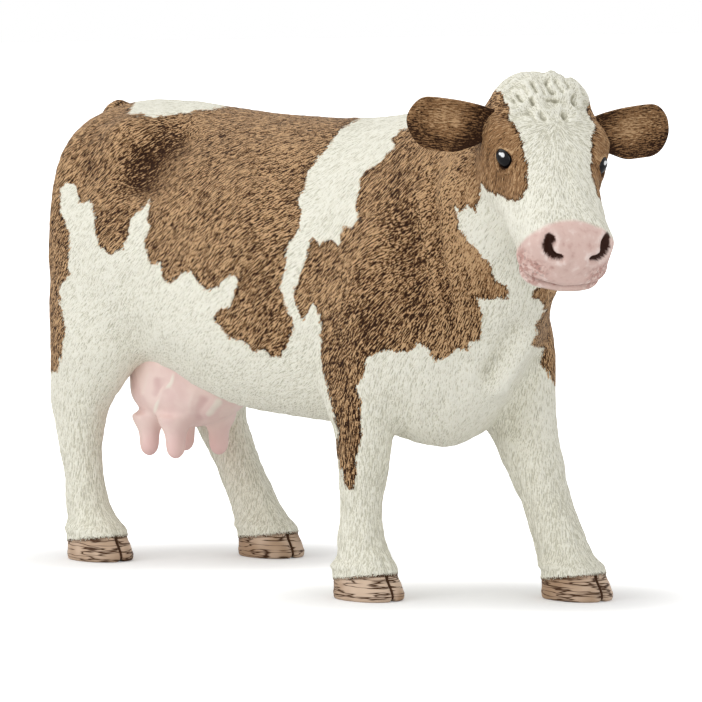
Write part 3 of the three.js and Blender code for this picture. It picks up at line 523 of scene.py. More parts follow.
CURLS = [
    ([(532, 78), (533, 84), (536, 90), (540, 94)], 0.42, -0.6),
    ([(547, 75), (547, 83), (551, 90), (558, 95)], 0.42, -0.6),
    ([(553, 76), (558, 83), (562, 90), (563, 96)], 0.4, -0.55),
    ([(563, 76), (568, 84), (570, 92)], 0.4, -0.5), ([(578, 79), (582, 84), (585, 90)], 0.4, -0.4),
    ([(514, 90), (519, 98), (525, 104)], 0.4, -0.5), ([(511, 95), (514, 103), (519, 106)], 0.35, -0.35),
    ([(530, 96), (533, 103), (534, 106)], 0.35, -0.4),
    ([(543, 101), (551, 99), (559, 101), (565, 104)], 0.4, -0.45),
    ([(539, 110), (543, 117), (548, 120)], 0.4, -0.4), ([(559, 112), (565, 117), (571, 113)], 0.4, -0.4),
    ([(522, 84), (526, 91), (530, 96)], 0.35, -0.35), ([(540, 82), (543, 90), (546, 97)], 0.35, -0.35),
    ([(575, 92), (572, 100), (576, 108)], 0.4, -0.4), ([(525, 108), (531, 114), (538, 124)], 0.35, -0.3),
]
# Painted shade in the hollow before the hip, in the neck's groove, on the shoulder and on the legs;
# painted light on the cheek and the chest.
LIGHT_AND_SHADE_STROKES = [  # path in the picture, width in mm, share of painted shade, negative for painted light
    ([(190, 132), (160, 148), (142, 172), (140, 205)], 3.2, 1.0),
    ([(100, 128), (90, 160), (80, 180)], 2.6, 0.35), ([(120, 200), (110, 225), (104, 245)], 3.0, 0.3),
    ([(402, 150), (408, 220), (420, 300), (428, 350)], 4.4, 0.65),
    ([(440, 150), (436, 210), (444, 270), (452, 330)], 1.6, 0.2),
    ([(330, 330), (338, 400), (344, 470)], 2.4, 0.5), ([(360, 300), (372, 340), (392, 352)], 3.0, 0.35),
    ([(262, 250), (270, 300), (268, 345)], 3.0, 0.25), ([(330, 130), (350, 125), (380, 120)], 2.4, 0.3),
    ([(500, 405), (506, 425), (505, 445)], 2.0, 0.5),
    ([(372, 380), (378, 430), (372, 500)], 3.0, 0.6), ([(478, 212), (494, 234), (506, 262)], 4.0, -0.9),
    ([(474, 170), (478, 230), (492, 280)], 3.4, -0.2), ([(430, 410), (462, 394), (500, 372)], 6.0, -0.5),
    ([(350, 250), (372, 300), (356, 380)], 5.0, 0.35),
    ([(525, 120), (548, 132), (575, 122)], 1.6, 0.5),
]


def shown(normals):
    return step(-0.1, 0.2, facing(normals))


def both_sides(points, normals, near_strokes, far_strokes):
    """Strokes drawn in the picture, and their mirror image on the side that it doesn't show."""
    near = shown(normals)
    far = (1 - near) * shown(normals * MIRROR)
    far_lift = drawn(picture(points * MIRROR), far_strokes)
    return near * drawn(picture(points), near_strokes) + far * far_lift


def folded(points, normals):
    return both_sides(points, normals, FOLDS + CURLS, FOLDS)


# %% [markdown]
# The head's strokes are drawn in the head's own axes, so that both sides match although the head
# is turned. Nostrils and mouth are drawn on the front of the muzzle, seen along the head, so that
# they always land on the skin.

# %% Face of the cow
EYE_AT, EYE_TURN = (0.41, 0.42, 0.165), 0.5         # shares of the head; how far the eye looks ahead
EYE_LIDS = np.array([0.75, -0.46, -0.3])            # from the rear corner to the front one
EYE_LENGTH, EYE_WIDTH, EYE_TAPER = 1.4, 1.12, 0.35  # half sizes of the opening in mm, and its taper
EYE_REACH, NO_EYE = 2.5, 9.0                        # mm about the eye; what eye_shape says beyond it
LID_RIM = (1.3, 0.22, 0.22)                         # a ridge: at, width and lift
SOCKET = (0.8, 1.1, 0.7)                            # the hole in it: from, to and depth
NOSTRIL = np.array([(0.238, 0.15), (0.25, 0.1), (0.23, 0.055), (0.185, 0.028), (0.14, 0.035)])
NOSTRIL = NOSTRIL * [HEAD_WIDTH, HEAD_DEPTH]
NOSTRIL_RIM, NOSTRIL_DEPTH = (1.15, 0.45, 0.22), 1.1  # mm from the nostril's path
NOSTRIL_HALF, NOSTRIL_TAPER = 0.74, 0.3             # half width at its inner end, and what it loses
NOSE_SHIFT = 0.45                                   # mm that the nose leans to the left
MOUTH_AT, MOUTH_DROOP = 0.265, 0.02                 # below the axis, and more at the lips' front
LIP_BOW, LIP_BOW_WIDTH = 0.5, 1.6                   # the dip in the middle of the mouth, mm
LIP_LINES = ((1.2, 0.8, 0.25), (0, 0.34, -0.45), (-1.1, 0.7, 0.3))  # upper lip, mouth, lower lip
FACE = [  # path in shares of the head, width in mm, lift in mm
    ([(0.12, 0.44, -0.05), (0.22, 0.5, -0.3), (0.4, 0.48, -0.48), (0.6, 0.36, -0.42)], 2.2, 0.35),
    ([(0.25, 0.42, 0.42), (0.36, 0.4, 0.36), (0.46, 0.36, 0.24)], 1.2, 0.5),
    ([(0.42, 0.42, 0.0), (0.55, 0.36, 0.0), (0.68, 0.34, 0.0)], 1.6, -0.1),
    ([(0.45, 0.4, -0.2), (0.6, 0.36, -0.18), (0.76, 0.36, -0.14)], 1.3, 0.25),
    ([(0.46, 0.38, -0.06), (0.6, 0.34, -0.1), (0.74, 0.33, -0.1), (0.82, 0.33, -0.1)], 2.6, 0.8),
    ([(0.5, 0.12, 0.32), (0.66, 0.1, 0.27), (0.8, 0.12, 0.25)], 1.2, 0.2),
    ([(0.845, 0.0, 0.27), (0.864, 0.138, 0.257), (0.9, 0.24, 0.23)], 0.6, -0.2),
    ([(0.92, 0.0, 0.2), (0.99, 0.0, 0.05), (1.02, 0.0, -0.15)], 0.7, -0.18),
]


def head_path(shares):
    return np.array([head_size(s) for s in shares])


def one_side(points):
    """Head axes with both sides folded onto the left one."""
    along, side, up = in_head(points).T
    return np.stack([along, np.abs(side), up], 1)


def eye_seat(points, normals):
    """The eye's place on the skin, and three axes there: along the lids, across them, outwards."""
    local, out = one_side(points), normals @ HEAD_TURN
    out[:, 1] *= np.sign(in_head(points)[:, 1])
    at = head_size(EYE_AT)
    near = (np.hypot(*(local - at)[:, [0, 2]].T) < 1) & (local[:, 1] > at[1] / 2)
    outwards = unit(unit(out[near].mean(0)) + [EYE_TURN, 0, 0])
    lids = unit(EYE_LIDS - EYE_LIDS @ outwards * outwards)
    return local[near].mean(0), np.array([lids, np.cross(lids, outwards), outwards])


def eye_shape(local):
    """How far out of the eye's almond a point is: 1 on the lids. The rear corner is drawn out."""
    at, axes = EYE_SEAT
    a, b, deep = ((local - at) @ axes.T).T
    b = b / (1 - EYE_TAPER * np.clip(-a / EYE_LENGTH, -1, 1))
    out = np.hypot(a / EYE_LENGTH, b / EYE_WIDTH)
    return np.where(np.abs(deep) < EYE_REACH, out, NO_EYE)


def muzzle_lines(points):
    """Distances in mm on the muzzle: from the nostril's path, along it, above the mouth, and the
    shares of nose and lips."""
    along, side, up = (in_head(points) / [HEAD_LENGTH, 1, 1]).T
    d, t = off_path(np.stack([np.abs(side - NOSE_SHIFT), up], 1), NOSTRIL)
    mouth = -(MOUTH_AT + MOUTH_DROOP * step(0.85, 1.0, along)) * HEAD_DEPTH
    mouth = mouth - LIP_BOW * bell(side, LIP_BOW_WIDTH)
    return d, t, up - mouth, step(0.84, 0.9, along), step(0.77, 0.84, along)


def ridge(x, at, width, lift):
    return lift * bell(x - at, width)


def face_carved(points):
    """Strokes, the lids' rim round a sunk socket, the nostril's rim round its hole, and the lips."""
    local = one_side(points)
    total = drawn(local, [(head_path(path), width, lift) for path, width, lift in FACE], 1)
    e = eye_shape(local)
    low, high, depth = SOCKET
    total += ridge(e, *LID_RIM) - depth * (1 - step(low, high, e))
    d, t, gap, nose, lips = muzzle_lines(points)
    hole = bell((d / (NOSTRIL_HALF - NOSTRIL_TAPER * t)) ** 2)
    total += nose * (ridge(d, *NOSTRIL_RIM) - NOSTRIL_DEPTH * hole)
    return total + lips * sum(ridge(gap, *line) for line in LIP_LINES)


print("strokes ready")

# %% [markdown]
# ## Noise for hair
#
# Combed hair is noise that is averaged along the hair. The noise is made the way a texture makes
# it: a random number at every corner of a grid of cells, blended inside each cell with a smooth step.

# %% Smooth noise
COMBED_GAIN = 2.2


def noise(places, seed=0):
    """Value noise from -1 to 1: random corner values, blended along each axis with 3t^2 - 2t^3."""
    cell = np.floor(places).astype(np.int64)
    t = places - cell
    t = t * t * (3 - 2 * t)
    total = np.zeros(len(places))
    for corner in np.ndindex(2, 2, 2):
        i, j, k = (cell + corner).T
        h = (i * 73856093) ^ (j * 19349663) ^ (k * 83492791) ^ (seed * 2654435761)
        h = (h ^ (h >> 13)) * 1274126177 & 0xFFFFFFFF
        h = (h ^ (h >> 16)) * 2246822519 & 0xFFFFFFFF
        value = ((h ^ (h >> 15)) & 0xFFFF) / 32767.5 - 1
        total += value * np.prod(np.where(corner, t, 1 - t), axis=1)
    return total


def noises(places, seeds):
    """One column of noise for each seed."""
    return np.stack([noise(places, seed) for seed in seeds], 1)


def combed(points, way, cell, reach, seed):
    """The mean of noise at seven places along the hair, raised to fill about -1 to 1 again."""
    total = sum(noise((points + way * (k * reach / 3)) / cell, seed) for k in range(-3, 4))
    return total / 7 * COMBED_GAIN


# %% [markdown]
# Which way the hair lies. On the body it runs backwards and down, flat on the flank, steep on the
# neck and straight down the legs. On the face it runs away from a swirl on the forehead. Both ways
# are laid down on the skin by taking off the part that points out of it.

# %% The way of the hair
FALL = [(-60, 52), (-45, 46), (-20, 40), (8, 38), (18, 56), (30, 72), (42, 78), (52, 82)]  # x, degrees
STEEP = 86                                  # degrees, on legs and chest
SWIRL = (0.31, 0.0, 0.5)                    # shares of the head


def above_chest(points):
    return step(32, 40, points[:, 2])


def face_share(points):
    """1 on the head in front of the ears, 0 on the neck."""
    shares = in_head(points) / HEAD_SIZES
    return step(-0.15, 0.12, shares[:, 0] + 0.35 * shares[:, 2]) * above_chest(points)


def neck_share(points):
    """1 on the wrinkled part between the shoulder and the face."""
    return step(26, 34, points[:, 0]) * (1 - face_share(points)) * step(40, 50, points[:, 2])


def poll_share(shares):
    """1 on the curls between the ears, from shares of the head's three sizes."""
    along = step(-0.3, -0.1, shares[:, 0]) * (1 - step(0.22, 0.36, shares[:, 0]))
    return step(0.28, 0.4, shares[:, 2]) * along


def hair_way(points, normals):
    """(-cos a, 0, -sin a) on the body and away from the swirl on the face, laid on the skin by
    taking off way . normal times the normal."""
    x, _, z = points.T
    local = in_head(points)
    fall = np.interp(x, *np.array(FALL).T)
    steep = np.maximum(1 - step(20, 31, z), step(37, 44, x) * (1 - step(42, 52, z)))
    a = np.radians(fall + steep * (STEEP - fall) + 10 * noise(points / 8, 3))
    body = np.stack([-np.cos(a), 0 * a, -np.sin(a)], 1)
    away = unit((local - head_size(SWIRL)) @ HEAD_TURN.T + 1.6 * noises(points / 5, (5, 6, 7)))
    share = step(-0.25, 0.2, local[:, 0] / HEAD_LENGTH) * above_chest(points)
    way = body + share[:, None] * (away - body)
    return unit(way - np.sum(way * normals, axis=1)[:, None] * normals)


# %% [markdown]
# ## The hooves
#
# Each hoof has a cleft in front, grown rings, and a ragged fringe of hair over its top.

# %% Hooves
HOOF_RISE = 0.13                            # how much higher a hoof is at its front, per mm
HAIR_LINE = HOOF_HEIGHT - 0.8               # where the hair starts over the middle of a hoof
CLEFT_HALF, CLEFT_DEPTH = 0.34, 0.6         # mm
RING_CELLS, RING_DEPTH = (4, 4, 0.5), 0.06
FRINGE_LIFT, FRINGE_FALL = 0.28, 1.2


def from_hoof(points):
    """How far each point is in front of and beside the middle of the nearest hoof, and above the
    line where its horn ends."""
    middles = np.array([(back_x(place), side * HALF) for place, side, _, _ in LEGS.values()])
    gap = points[:, None, :2] - middles
    nearest = np.argmin(np.linalg.norm(gap, axis=2), axis=1)
    ahead, aside = gap[np.arange(len(points)), nearest].T
    return ahead, aside, points[:, 2] - HAIR_LINE - HOOF_RISE * ahead


def hoof_carved(points):
    """The fringe stands out over the horn; the cleft is deep in it and shallow in the hair."""
    ahead, aside, above = from_hoof(points)
    z = points[:, 2]
    cleft = bell(aside, CLEFT_HALF) * step(1.5, 3.0, ahead) * (1 - step(1.5, 3.2, above))
    cleft *= 1 - 0.75 * step(-0.2, 0.5, above)
    rings = noise(np.stack([ahead, aside, z], 1) / RING_CELLS, 8)
    rings *= (1 - step(-0.5, 0, above)) * step(0.3, 0.8, z)
    fringe = step(-0.25, 0.15, above) * np.exp(-np.maximum(above, 0) / FRINGE_FALL)
    lift = FRINGE_LIFT * fringe - CLEFT_DEPTH * cleft + RING_DEPTH * rings
    return lift * (1 - step(9, 12, z))


# %% [markdown]
# ## Wrapping the skin
#
# The wrapped skin is relaxed, carved and haired as one, so that hair and folds run through every
# seam, and only then cut where the mouldings are glued: across the neck and above each knee and
# hock. Face and hooves need smaller quads than a flank, so one shape is wrapped in two
# finenesses.

# %% The skin in two finenesses
BALL_GRID = (23, 48)


def ball_shape(at, sizes):
    """An egg of points round a centre: cos(u), sin(u) cos(a), sin(u) sin(a), times its half sizes."""
    rings, sides = BALL_GRID
    u = np.linspace(0, np.pi, rings + 2)[1:-1, None]
    a = round_angles(sides)
    ring = np.stack([np.cos(u) + 0 * a, np.sin(u) * np.cos(a), np.sin(u) * np.sin(a)], -1)
    ball = np.concatenate([ring.reshape(-1, 3), [[1, 0, 0], [-1, 0, 0]]])
    return np.asarray(at) + ball * sizes, ring_faces(rings, sides)


CHEEK_AT, CHEEK = (back_x(0.955), -0.32 * HALF, 0.83 * BACK_HEIGHT), (9.0, 6.5, 12.0)
RELAXED_MM2, CALM_MM2 = 10.4, 5.0           # how far smoothing spreads over the skin, in mm squared
MARGIN = 6                                  # mm of skin kept past a cut until the carving is done
NECK_AT = np.array([back_x(0.9), -0.6, 0.78 * BACK_HEIGHT])
NECK_WAY = turn_about("Z", -8) @ turn_about("Y", -12) @ X
MID_BELLY, FAR_END = -20.0, 500.0
FORE_SEAM = np.array([0, 0, LEGS["front_right_leg"][2] * BACK_HEIGHT])
HIND_SEAM = np.array([0, 0, LEGS["rear_right_leg"][2] * BACK_HEIGHT])
COARSE, FINE = ((0.45, 0.25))
body_parts = [torso_shape(), *(leg_shape(*leg) for leg in LEGS.values()), head_shape(), tuft_shape(),
              ball_shape(CHEEK_AT, CHEEK)]


def relax_share(points):
    """How freely a point may be smoothed: most at the limbs' joins, least on hooves and lips."""
    along, _, up = (in_head(points) / HEAD_SIZES).T
    muzzle = step(0.3, 0.6, along)
    face = step(-0.12, 0.3, along) * step(-0.5, 0, up)
    joins = step(18, 26, points[:, 2]) * (1 - 0.5 * step(52, 66, points[:, 2]))
    throat = step(-0.6, -0.3, along) * (1 - step(0.14, 0.3, along)) * (1 - step(0.15, 0.4, up))
    share = np.maximum(0.5 * joins * (1 - 0.85 * np.maximum(muzzle, face)), 0.5 * throat)
    hoof = 1 - step(HOOF_HEIGHT, HOOF_HEIGHT + 3, points[:, 2])
    return np.maximum(share, 0.08) * (1 - 0.8 * hoof)


def kept(quads, within):
    """The numbers of the points of quads that lie all within, and these quads, renumbered."""
    used, again = np.unique(quads[within[quads].all(1)], return_inverse=True)
    return used, again.reshape(-1, 4)


def skin(name, voxel, within):
    """Points, quads, edges and calm normals of the relaxed skin where it is wanted."""
    points, quads = wrapped(name, body_parts, voxel)
    used, quads = kept(quads, within(points))
    points, edges = points[used], neighbours(quads)
    points = relaxed(points, edges, relax_share(points), round(RELAXED_MM2 / voxel**2))
    smooth = relaxed(points, edges, 0.5, round(CALM_MM2 / voxel**2))
    return points, quads, edges, normals_of(smooth, quads)


def ahead_of_neck(points, margin):
    return (points - NECK_AT) @ NECK_WAY > -margin


def below_seam(points, margin):
    seam = np.where(points[:, 0] > MID_BELLY, FORE_SEAM[2], HIND_SEAM[2])
    return points[:, 2] < seam + margin


def limbs(points, margin):
    return ahead_of_neck(points, margin) | below_seam(points, margin)


coarse = skin("coarse_skin", COARSE, lambda points: ~limbs(points, -MARGIN))
fine = skin("fine_skin", FINE, lambda points: limbs(points, MARGIN))
EYE_SEAT = eye_seat(fine[0], fine[3])
print("eye at", EYE_SEAT[0].round(2), "looking", EYE_SEAT[1][2].round(2))

# %% [markdown]
# Then folds, face, hooves and hair are carved into both skins. The neck's wrinkles are the same
# combed noise, only coarser. The poll's curls are ridges along the lines where a slower, twisted
# noise crosses zero.

# %% Carve and comb
LOCKS, DOWN, WRINKLES = (0.75, 1.1, 1), (0.5, 0.8, 2), (0.9, 4.0, 4)    # cell, reach in mm; seed
LOCK_DEPTH, SHAGGY_DEPTH, DOWN_DEPTH, WRINKLE_DEPTH = 0.05, 0.06, 0.03, 0.26    # mm
CURL_DEPTH, CURL_CELLS = 0.32, (1.9, 1.9, 2.8)
TWIST, TWIST_CELL = 1.3, 2.4
NOSTRIL_RELAX = 0.6, 5                      # weight and rounds: takes the steps off a deep hole


def carved(source, with_face):
    """The carved skin: hair is left off horn, lids and nose."""
    points, quads, edges, calm = source
    local = one_side(points)
    shares = local / HEAD_SIZES
    lift = folded(points, calm) + hoof_carved(points)
    bare = 1 - step(0.2, 0.8, from_hoof(points)[2] + 9 * step(12, 14, points[:, 2]))
    if with_face:
        lift += face_carved(points)
        bare = np.maximum(bare, step(0.76, 0.86, shares[:, 0]) * above_chest(points))
        bare = np.maximum(bare, 1 - step(1.4, 2.0, eye_shape(local)))
    way = hair_way(points, calm)
    shaggy = LOCK_DEPTH + SHAGGY_DEPTH * (1 - step(18, 34, points[:, 2]))
    hair = shaggy * combed(points, way, *LOCKS) + DOWN_DEPTH * combed(points, way, *DOWN)
    hair += WRINKLE_DEPTH * neck_share(points) * combed(points, way, *WRINKLES)
    twist = points + TWIST * noises(points / TWIST_CELL, (11, 12, 13))
    hair += CURL_DEPTH * poll_share(shares) * (1 - 3 * np.abs(noise(twist / CURL_CELLS, 14)))
    points = points + calm * (lift + hair * (1 - bare))[:, None]
    if with_face:
        d, _, _, nose, _ = muzzle_lines(points)
        weight, rounds = NOSTRIL_RELAX
        points = relaxed(points, edges, weight * nose * (1 - step(1.6, 2.2, d)), rounds)
    return points, quads, edges, calm, way


coarse, fine = carved(coarse, False), carved(fine, True)
print("carved", len(coarse[0]), "and", len(fine[0]), "points")

# %% [markdown]
# ## Cutting
#
# A knife is a plane: the part of the skin in front of it is thrown away, and the opening is closed
# with a flat cap. The caps' edges are marked sharp, so the cap's shading doesn't bleed on the coat.

# %% The knife
ON_PLANE = 1e-5                             # mm within which a point counts as on the plane


def mesh_from(name, points, faces, data):
    """A mesh with one float or vector attribute for every entry of data."""
    mesh = mesh_of(name, points, faces)
    for key, values in data.items():
        vector = values.ndim == 2
        field = mesh.attributes.new(key, "FLOAT_VECTOR" if vector else "FLOAT", "POINT")
        field.data.foreach_set("vector" if vector else "value", values.astype(np.float32).ravel())
    return mesh


def cut(mesh, knives):
    """Keeps the side of each knife's plane that its direction points away from, and caps the cut.
    A knife only reaches the skin between two places along the body. The parts are listed in the
    mesh's own order, so that every run cuts alike."""
    work = bmesh.new()
    work.from_mesh(mesh)
    for at, direction, low, high in knives:
        near = [f for f in work.faces if low < f.verts[0].co.x < high]
        edges = dict.fromkeys(e for f in near for e in f.edges)
        corners = dict.fromkeys(v for f in near for v in f.verts)
        part = [*corners, *edges, *near]
        made = bmesh.ops.bisect_plane(work, geom=part, dist=ON_PLANE, plane_co=at,
                                      plane_no=direction, clear_outer=True)["geom_cut"]
        rim = [e for e in made if isinstance(e, bmesh.types.BMEdge) and e.is_boundary]
        caps = bmesh.ops.holes_fill(work, edges=rim, sides=0)["faces"]
        for e in rim:
            e.smooth = False
        bmesh.ops.triangulate(work, faces=caps)
    for f in work.faces:
        f.smooth = True
    loose = [v for v in work.verts if not v.link_faces]
    bmesh.ops.delete(work, geom=loose, context="VERTS")
    work.to_mesh(mesh)
    open_edges = sum(not e.is_manifold for e in work.edges)
    work.free()
    print(f"{mesh.name}: {len(mesh.polygons)} faces, {open_edges} open edges")
    return mesh


# %% [markdown]
# ## The coat's patches
#
# Brown patches with ragged edges on a cream coat are the breed's common pattern. Each patch is an
# outline. A point's signed distance from it, positive inside, becomes an attribute of the mesh, and
# the paint is switched where that distance crosses zero, with some hair noise added so that the
# edge breaks up into tufts. Near-side outlines are drawn in the picture, far-side ones in side view.

# %% Outlines of the patches
NEAR_BROWN = [  # pixels of the picture; corners off the body run past its edge
    [(40, 90), (110, 60), (370, 60), (362, 117), (341, 129), (326, 149), (308, 171), (306, 183),
     (297, 203), (302, 211), (299, 230), (287, 246), (285, 270), (279, 285), (283, 300), (294, 326),
     (287, 346), (281, 357), (270, 357), (265, 350), (252, 351), (243, 341), (229, 338), (213, 319),
     (219, 309), (229, 308), (238, 282), (235, 275), (225, 278), (219, 286), (206, 290), (197, 282),
     (190, 271), (182, 274), (170, 285), (162, 275), (160, 263), (151, 264), (146, 253), (145, 240),
     (150, 225), (147, 219), (150, 199), (143, 208), (130, 219), (128, 236), (124, 249), (111, 255),
     (99, 246), (95, 227), (92, 201), (79, 204), (77, 186), (67, 182), (61, 188), (60, 210),
     (70, 232), (69, 275), (59, 288), (60, 306), (64, 319), (65, 336), (62, 350), (57, 372), (30, 372)],
    [(420, 90), (409, 128), (399, 131), (392, 140), (395, 146), (378, 163), (369, 168), (360, 178),
     (359, 191), (356, 204), (358, 217), (352, 228), (345, 227), (341, 233), (339, 245), (332, 239),
     (324, 241), (319, 246), (314, 237), (309, 242), (306, 259), (301, 267), (299, 281), (294, 288),
     (294, 300), (303, 322), (310, 309), (313, 303), (319, 315), (321, 331), (321, 362), (330, 400),
     (338, 433), (335, 453), (342, 473), (346, 489), (353, 489), (357, 473), (356, 461), (361, 439),
     (361, 402), (356, 386), (363, 376), (366, 360), (376, 352), (387, 350), (397, 353), (409, 353),
     (417, 344), (426, 348), (435, 361), (445, 358), (459, 348), (470, 352), (469, 342), (480, 340),
     (482, 316), (477, 298), (487, 300), (509, 298), (506, 287), (495, 279), (489, 263), (474, 246),
     (467, 241), (459, 226), (455, 207), (461, 212), (467, 205), (476, 212), (482, 185), (489, 193),
     (502, 196), (508, 201), (520, 201), (528, 188), (527, 177), (528, 165), (524, 157), (523, 143),
     (518, 129), (510, 119), (509, 107), (500, 92), (480, 80)],
    [(540, 280), (600, 280), (600, 330), (572, 365), (562, 400), (547, 372), (541, 363), (543, 349),
     (530, 345), (538, 333), (536, 325), (546, 310), (543, 307)],
]
NEAR_WHITE = [(138, 85), (136, 100), (128, 114), (135, 114), (142, 113), (147, 117), (171, 115),
              (222, 107), (250, 100), (250, 85)]
FAR_BROWN = [  # mm along the body and up
    [(-70, 80), (-55, 80), (-50, 68), (-53, 58), (-51, 48), (-54, 40), (-53, 33), (-58, 26), (-70, 26)],
    [(-29, 90), (-31, 68), (-28, 60), (-33, 52), (-30, 45), (-24, 43), (-21, 36), (-15, 33),
     (-9, 38), (-7, 46), (-1, 50), (1, 58), (-1, 66), (5, 74), (6, 90)],
    [(15, 90), (18, 68), (14, 60), (18, 52), (13, 44), (17, 36), (25, 34), (28, 28), (33, 33),
     (38, 30), (41, 40), (48, 44), (60, 50), (60, 90)],
]
RAGGED = ((1.8, 4.5, 31), (0.8, 1.8, 33))   # the far side's ragged edge: mm off, cell in mm, seed
CHEST_ACROSS, CHEST_DOWN = (510, 535), (272, 288)   # pixels: only past both is the far side in view


def inside_by(places, outline):
    """Signed distance of places from a closed outline: positive inside, by counting crossings."""
    outline = np.array(outline, float)
    best = np.full(len(places), np.inf)
    inside = np.zeros(len(places), bool)
    x, y = places.T
    for a, b in zip(outline, np.roll(outline, -1, axis=0)):
        t = np.clip((places - a) @ (b - a) / ((b - a) @ (b - a)), 0, 1)
        best = np.minimum(best, np.linalg.norm(places - a - t[:, None] * (b - a), axis=1))
        level = (a[1] > y) != (b[1] > y)
        inside ^= level & (x < (b[0] - a[0]) * (y - a[1]) / (b[1] - a[1] + 1e-12) + a[0])
    return np.where(inside, best, -best)


def patches(places, outlines, scale):
    return np.max([inside_by(places, outline) for outline in outlines], axis=0) / scale


def near_brown(points):
    places = picture(points)
    white = inside_by(places, NEAR_WHITE) / PX_PER_MM
    return np.minimum(patches(places, NEAR_BROWN, PX_PER_MM), -white)


def blend(share, first, second):
    return first + share * (second - first)


def brown_inside(points, calm, in_face):
    """Signed distance in mm: the picture's patches where the skin looks at the camera, side-view
    patches elsewhere. The face's left side repeats its right side."""
    near = near_brown(points)
    ragged = sum(size * noises(points / cell, (seed, seed + 1)) for size, cell, seed in RAGGED)
    far = patches(points[:, [0, 2]] + ragged, FAR_BROWN, 1)
    across, down = picture(points).T
    hidden = 1 - np.minimum(step(*CHEST_ACROSS, across), step(*CHEST_DOWN, down))
    behind = step(3, 7, points[:, 1] + 2 * ragged[:, 0]) * hidden
    body = blend(step(-0.35, 0.05, facing(calm)) * (1 - behind), far, near)
    local = in_head(points)
    other_side = SKULL + (local * MIRROR) @ HEAD_TURN.T
    face = blend(step(-1, 1, local[:, 1]), near, near_brown(other_side))
    return blend(in_face, body, face)


# %% [markdown]
# ## Everything the paint needs to know
#
# The masks are worked out once per point: brown, how deep the fold is, painted shade and light with a
# darker tone, pink skin, stubble, nostril, hoof, and the way of the hair. The material only mixes them.

# %% Masks
PAINT_LAP = 0.04                            # mm that the dark paint laps over the nostril's edge
BENT_ROUNDS = 12                            # rounds of smoothing that a fold's depth is measured from


def masks(points, edges, calm, way):
    local = one_side(points)
    shares = local / HEAD_SIZES
    in_face = face_share(points)
    on_head = in_face * (1 - step(0.6, 0.75, shares[:, 1])) * step(-0.8, -0.6, shares[:, 2])
    d, t, gap, nose, lips = muzzle_lines(points)
    hole = (1 - step(0.9, 1.1, d / (NOSTRIL_HALF + PAINT_LAP - NOSTRIL_TAPER * t))) * nose
    slit = 0.4 * bell(gap, 0.25) * lips * step(0.86, 0.94, shares[:, 0])
    pad = step(-0.05, 0.05, shares[:, 0] - 0.8 - 0.28 * shares[:, 2] - 0.5 * shares[:, 1] ** 2)
    pad *= 0.35 + 0.65 * step(-1.6, -0.3, gap)
    stubble = pad * step(-2.2, -1.2, gap) * (1 - step(3.0, 4.6, gap)) * step(0.1, 0.26, shares[:, 1])
    # A darker ring on the lids round the eye.
    lids = ridge(eye_shape(local), 1.05, 0.3, 1.0)
    # Painted shade on the lower legs and on the upper face.
    legs_and_brow_shade = np.maximum(1 - step(12, 30, points[:, 2]), 0.7 * in_face * step(0.1, 0.35, shares[:, 2]))
    bent = relaxed(points, edges, 0.5, BENT_ROUNDS)
    # How far the skin lies below its smoothed self, deeper in the curls; the paint darkens it as painted
    # shade.
    hollow = np.sum((bent - points) * calm, axis=1) * (1 + 0.8 * poll_share(shares))
    brown = brown_inside(points, calm, in_face)
    # On cream, the painted shade of the legs and face; on brown, painted light on the neck.
    shade = blend(step(-0.5, 0.5, brown), 0.7 * legs_and_brow_shade, -0.5 * neck_share(points))
    # All painted shade and painted light in one mask, with the lids' darker ring.
    wash = both_sides(points, calm, LIGHT_AND_SHADE_STROKES, LIGHT_AND_SHADE_STROKES[:-1]) + lids * on_head + shade
    return {"brown": brown, "hollow": hollow, "wash": wash, "pink": pad * on_head,
            "stubble": stubble * on_head, "nostril": np.maximum(hole, slit) * on_head,
            "short": step(0.0, 0.3, shares[:, 0]) * in_face, "hoof": -from_hoof(points)[2], "comb": way}


# %% [markdown]
# ## The mouldings of the body

# %% Torso, head and legs
TORSO_TRIM, LIMB_TRIM = 3, 2                # mm of skin left past a cut for the knife to take
meshes = {}


def moulded(name, source, knives, within):
    """A piece of the carved skin, trimmed roughly to what lies within and then cut by its knives."""
    points, quads, _, calm, way = source
    used, quads = kept(quads, within)
    data = masks(points[used], neighbours(quads), calm[used], way[used])
    meshes[name] = cut(mesh_from(name, points[used], quads.tolist(), data), knives)


trims = [(NECK_AT, NECK_WAY, MID_BELLY, FAR_END), (FORE_SEAM, -Z, MID_BELLY, FAR_END),
         (HIND_SEAM, -Z, -FAR_END, MID_BELLY)]
moulded("torso_coat", coarse, trims, ~limbs(coarse[0], -TORSO_TRIM))
moulded("head_coat", fine, [(NECK_AT, -NECK_WAY, -FAR_END, FAR_END)], ahead_of_neck(fine[0], LIMB_TRIM))
for name, (_, side, _, _) in LEGS.items():
    fore = name.startswith("front")
    low = below_seam(fine[0], LIMB_TRIM) & ((fine[0][:, 0] > MID_BELLY) == fore)
    knife = (FORE_SEAM if fore else HIND_SEAM, Z, -FAR_END, FAR_END)
    moulded(name + "_coat", fine, [knife], low & (fine[0][:, 1] * side > 0))

# %% [markdown]
# ## The ears
#
# An ear is a leaf with a rolled rim and a cup that deepens towards the head. Its section is an oval
# whose front half first rises to the rim and then falls into the cup.

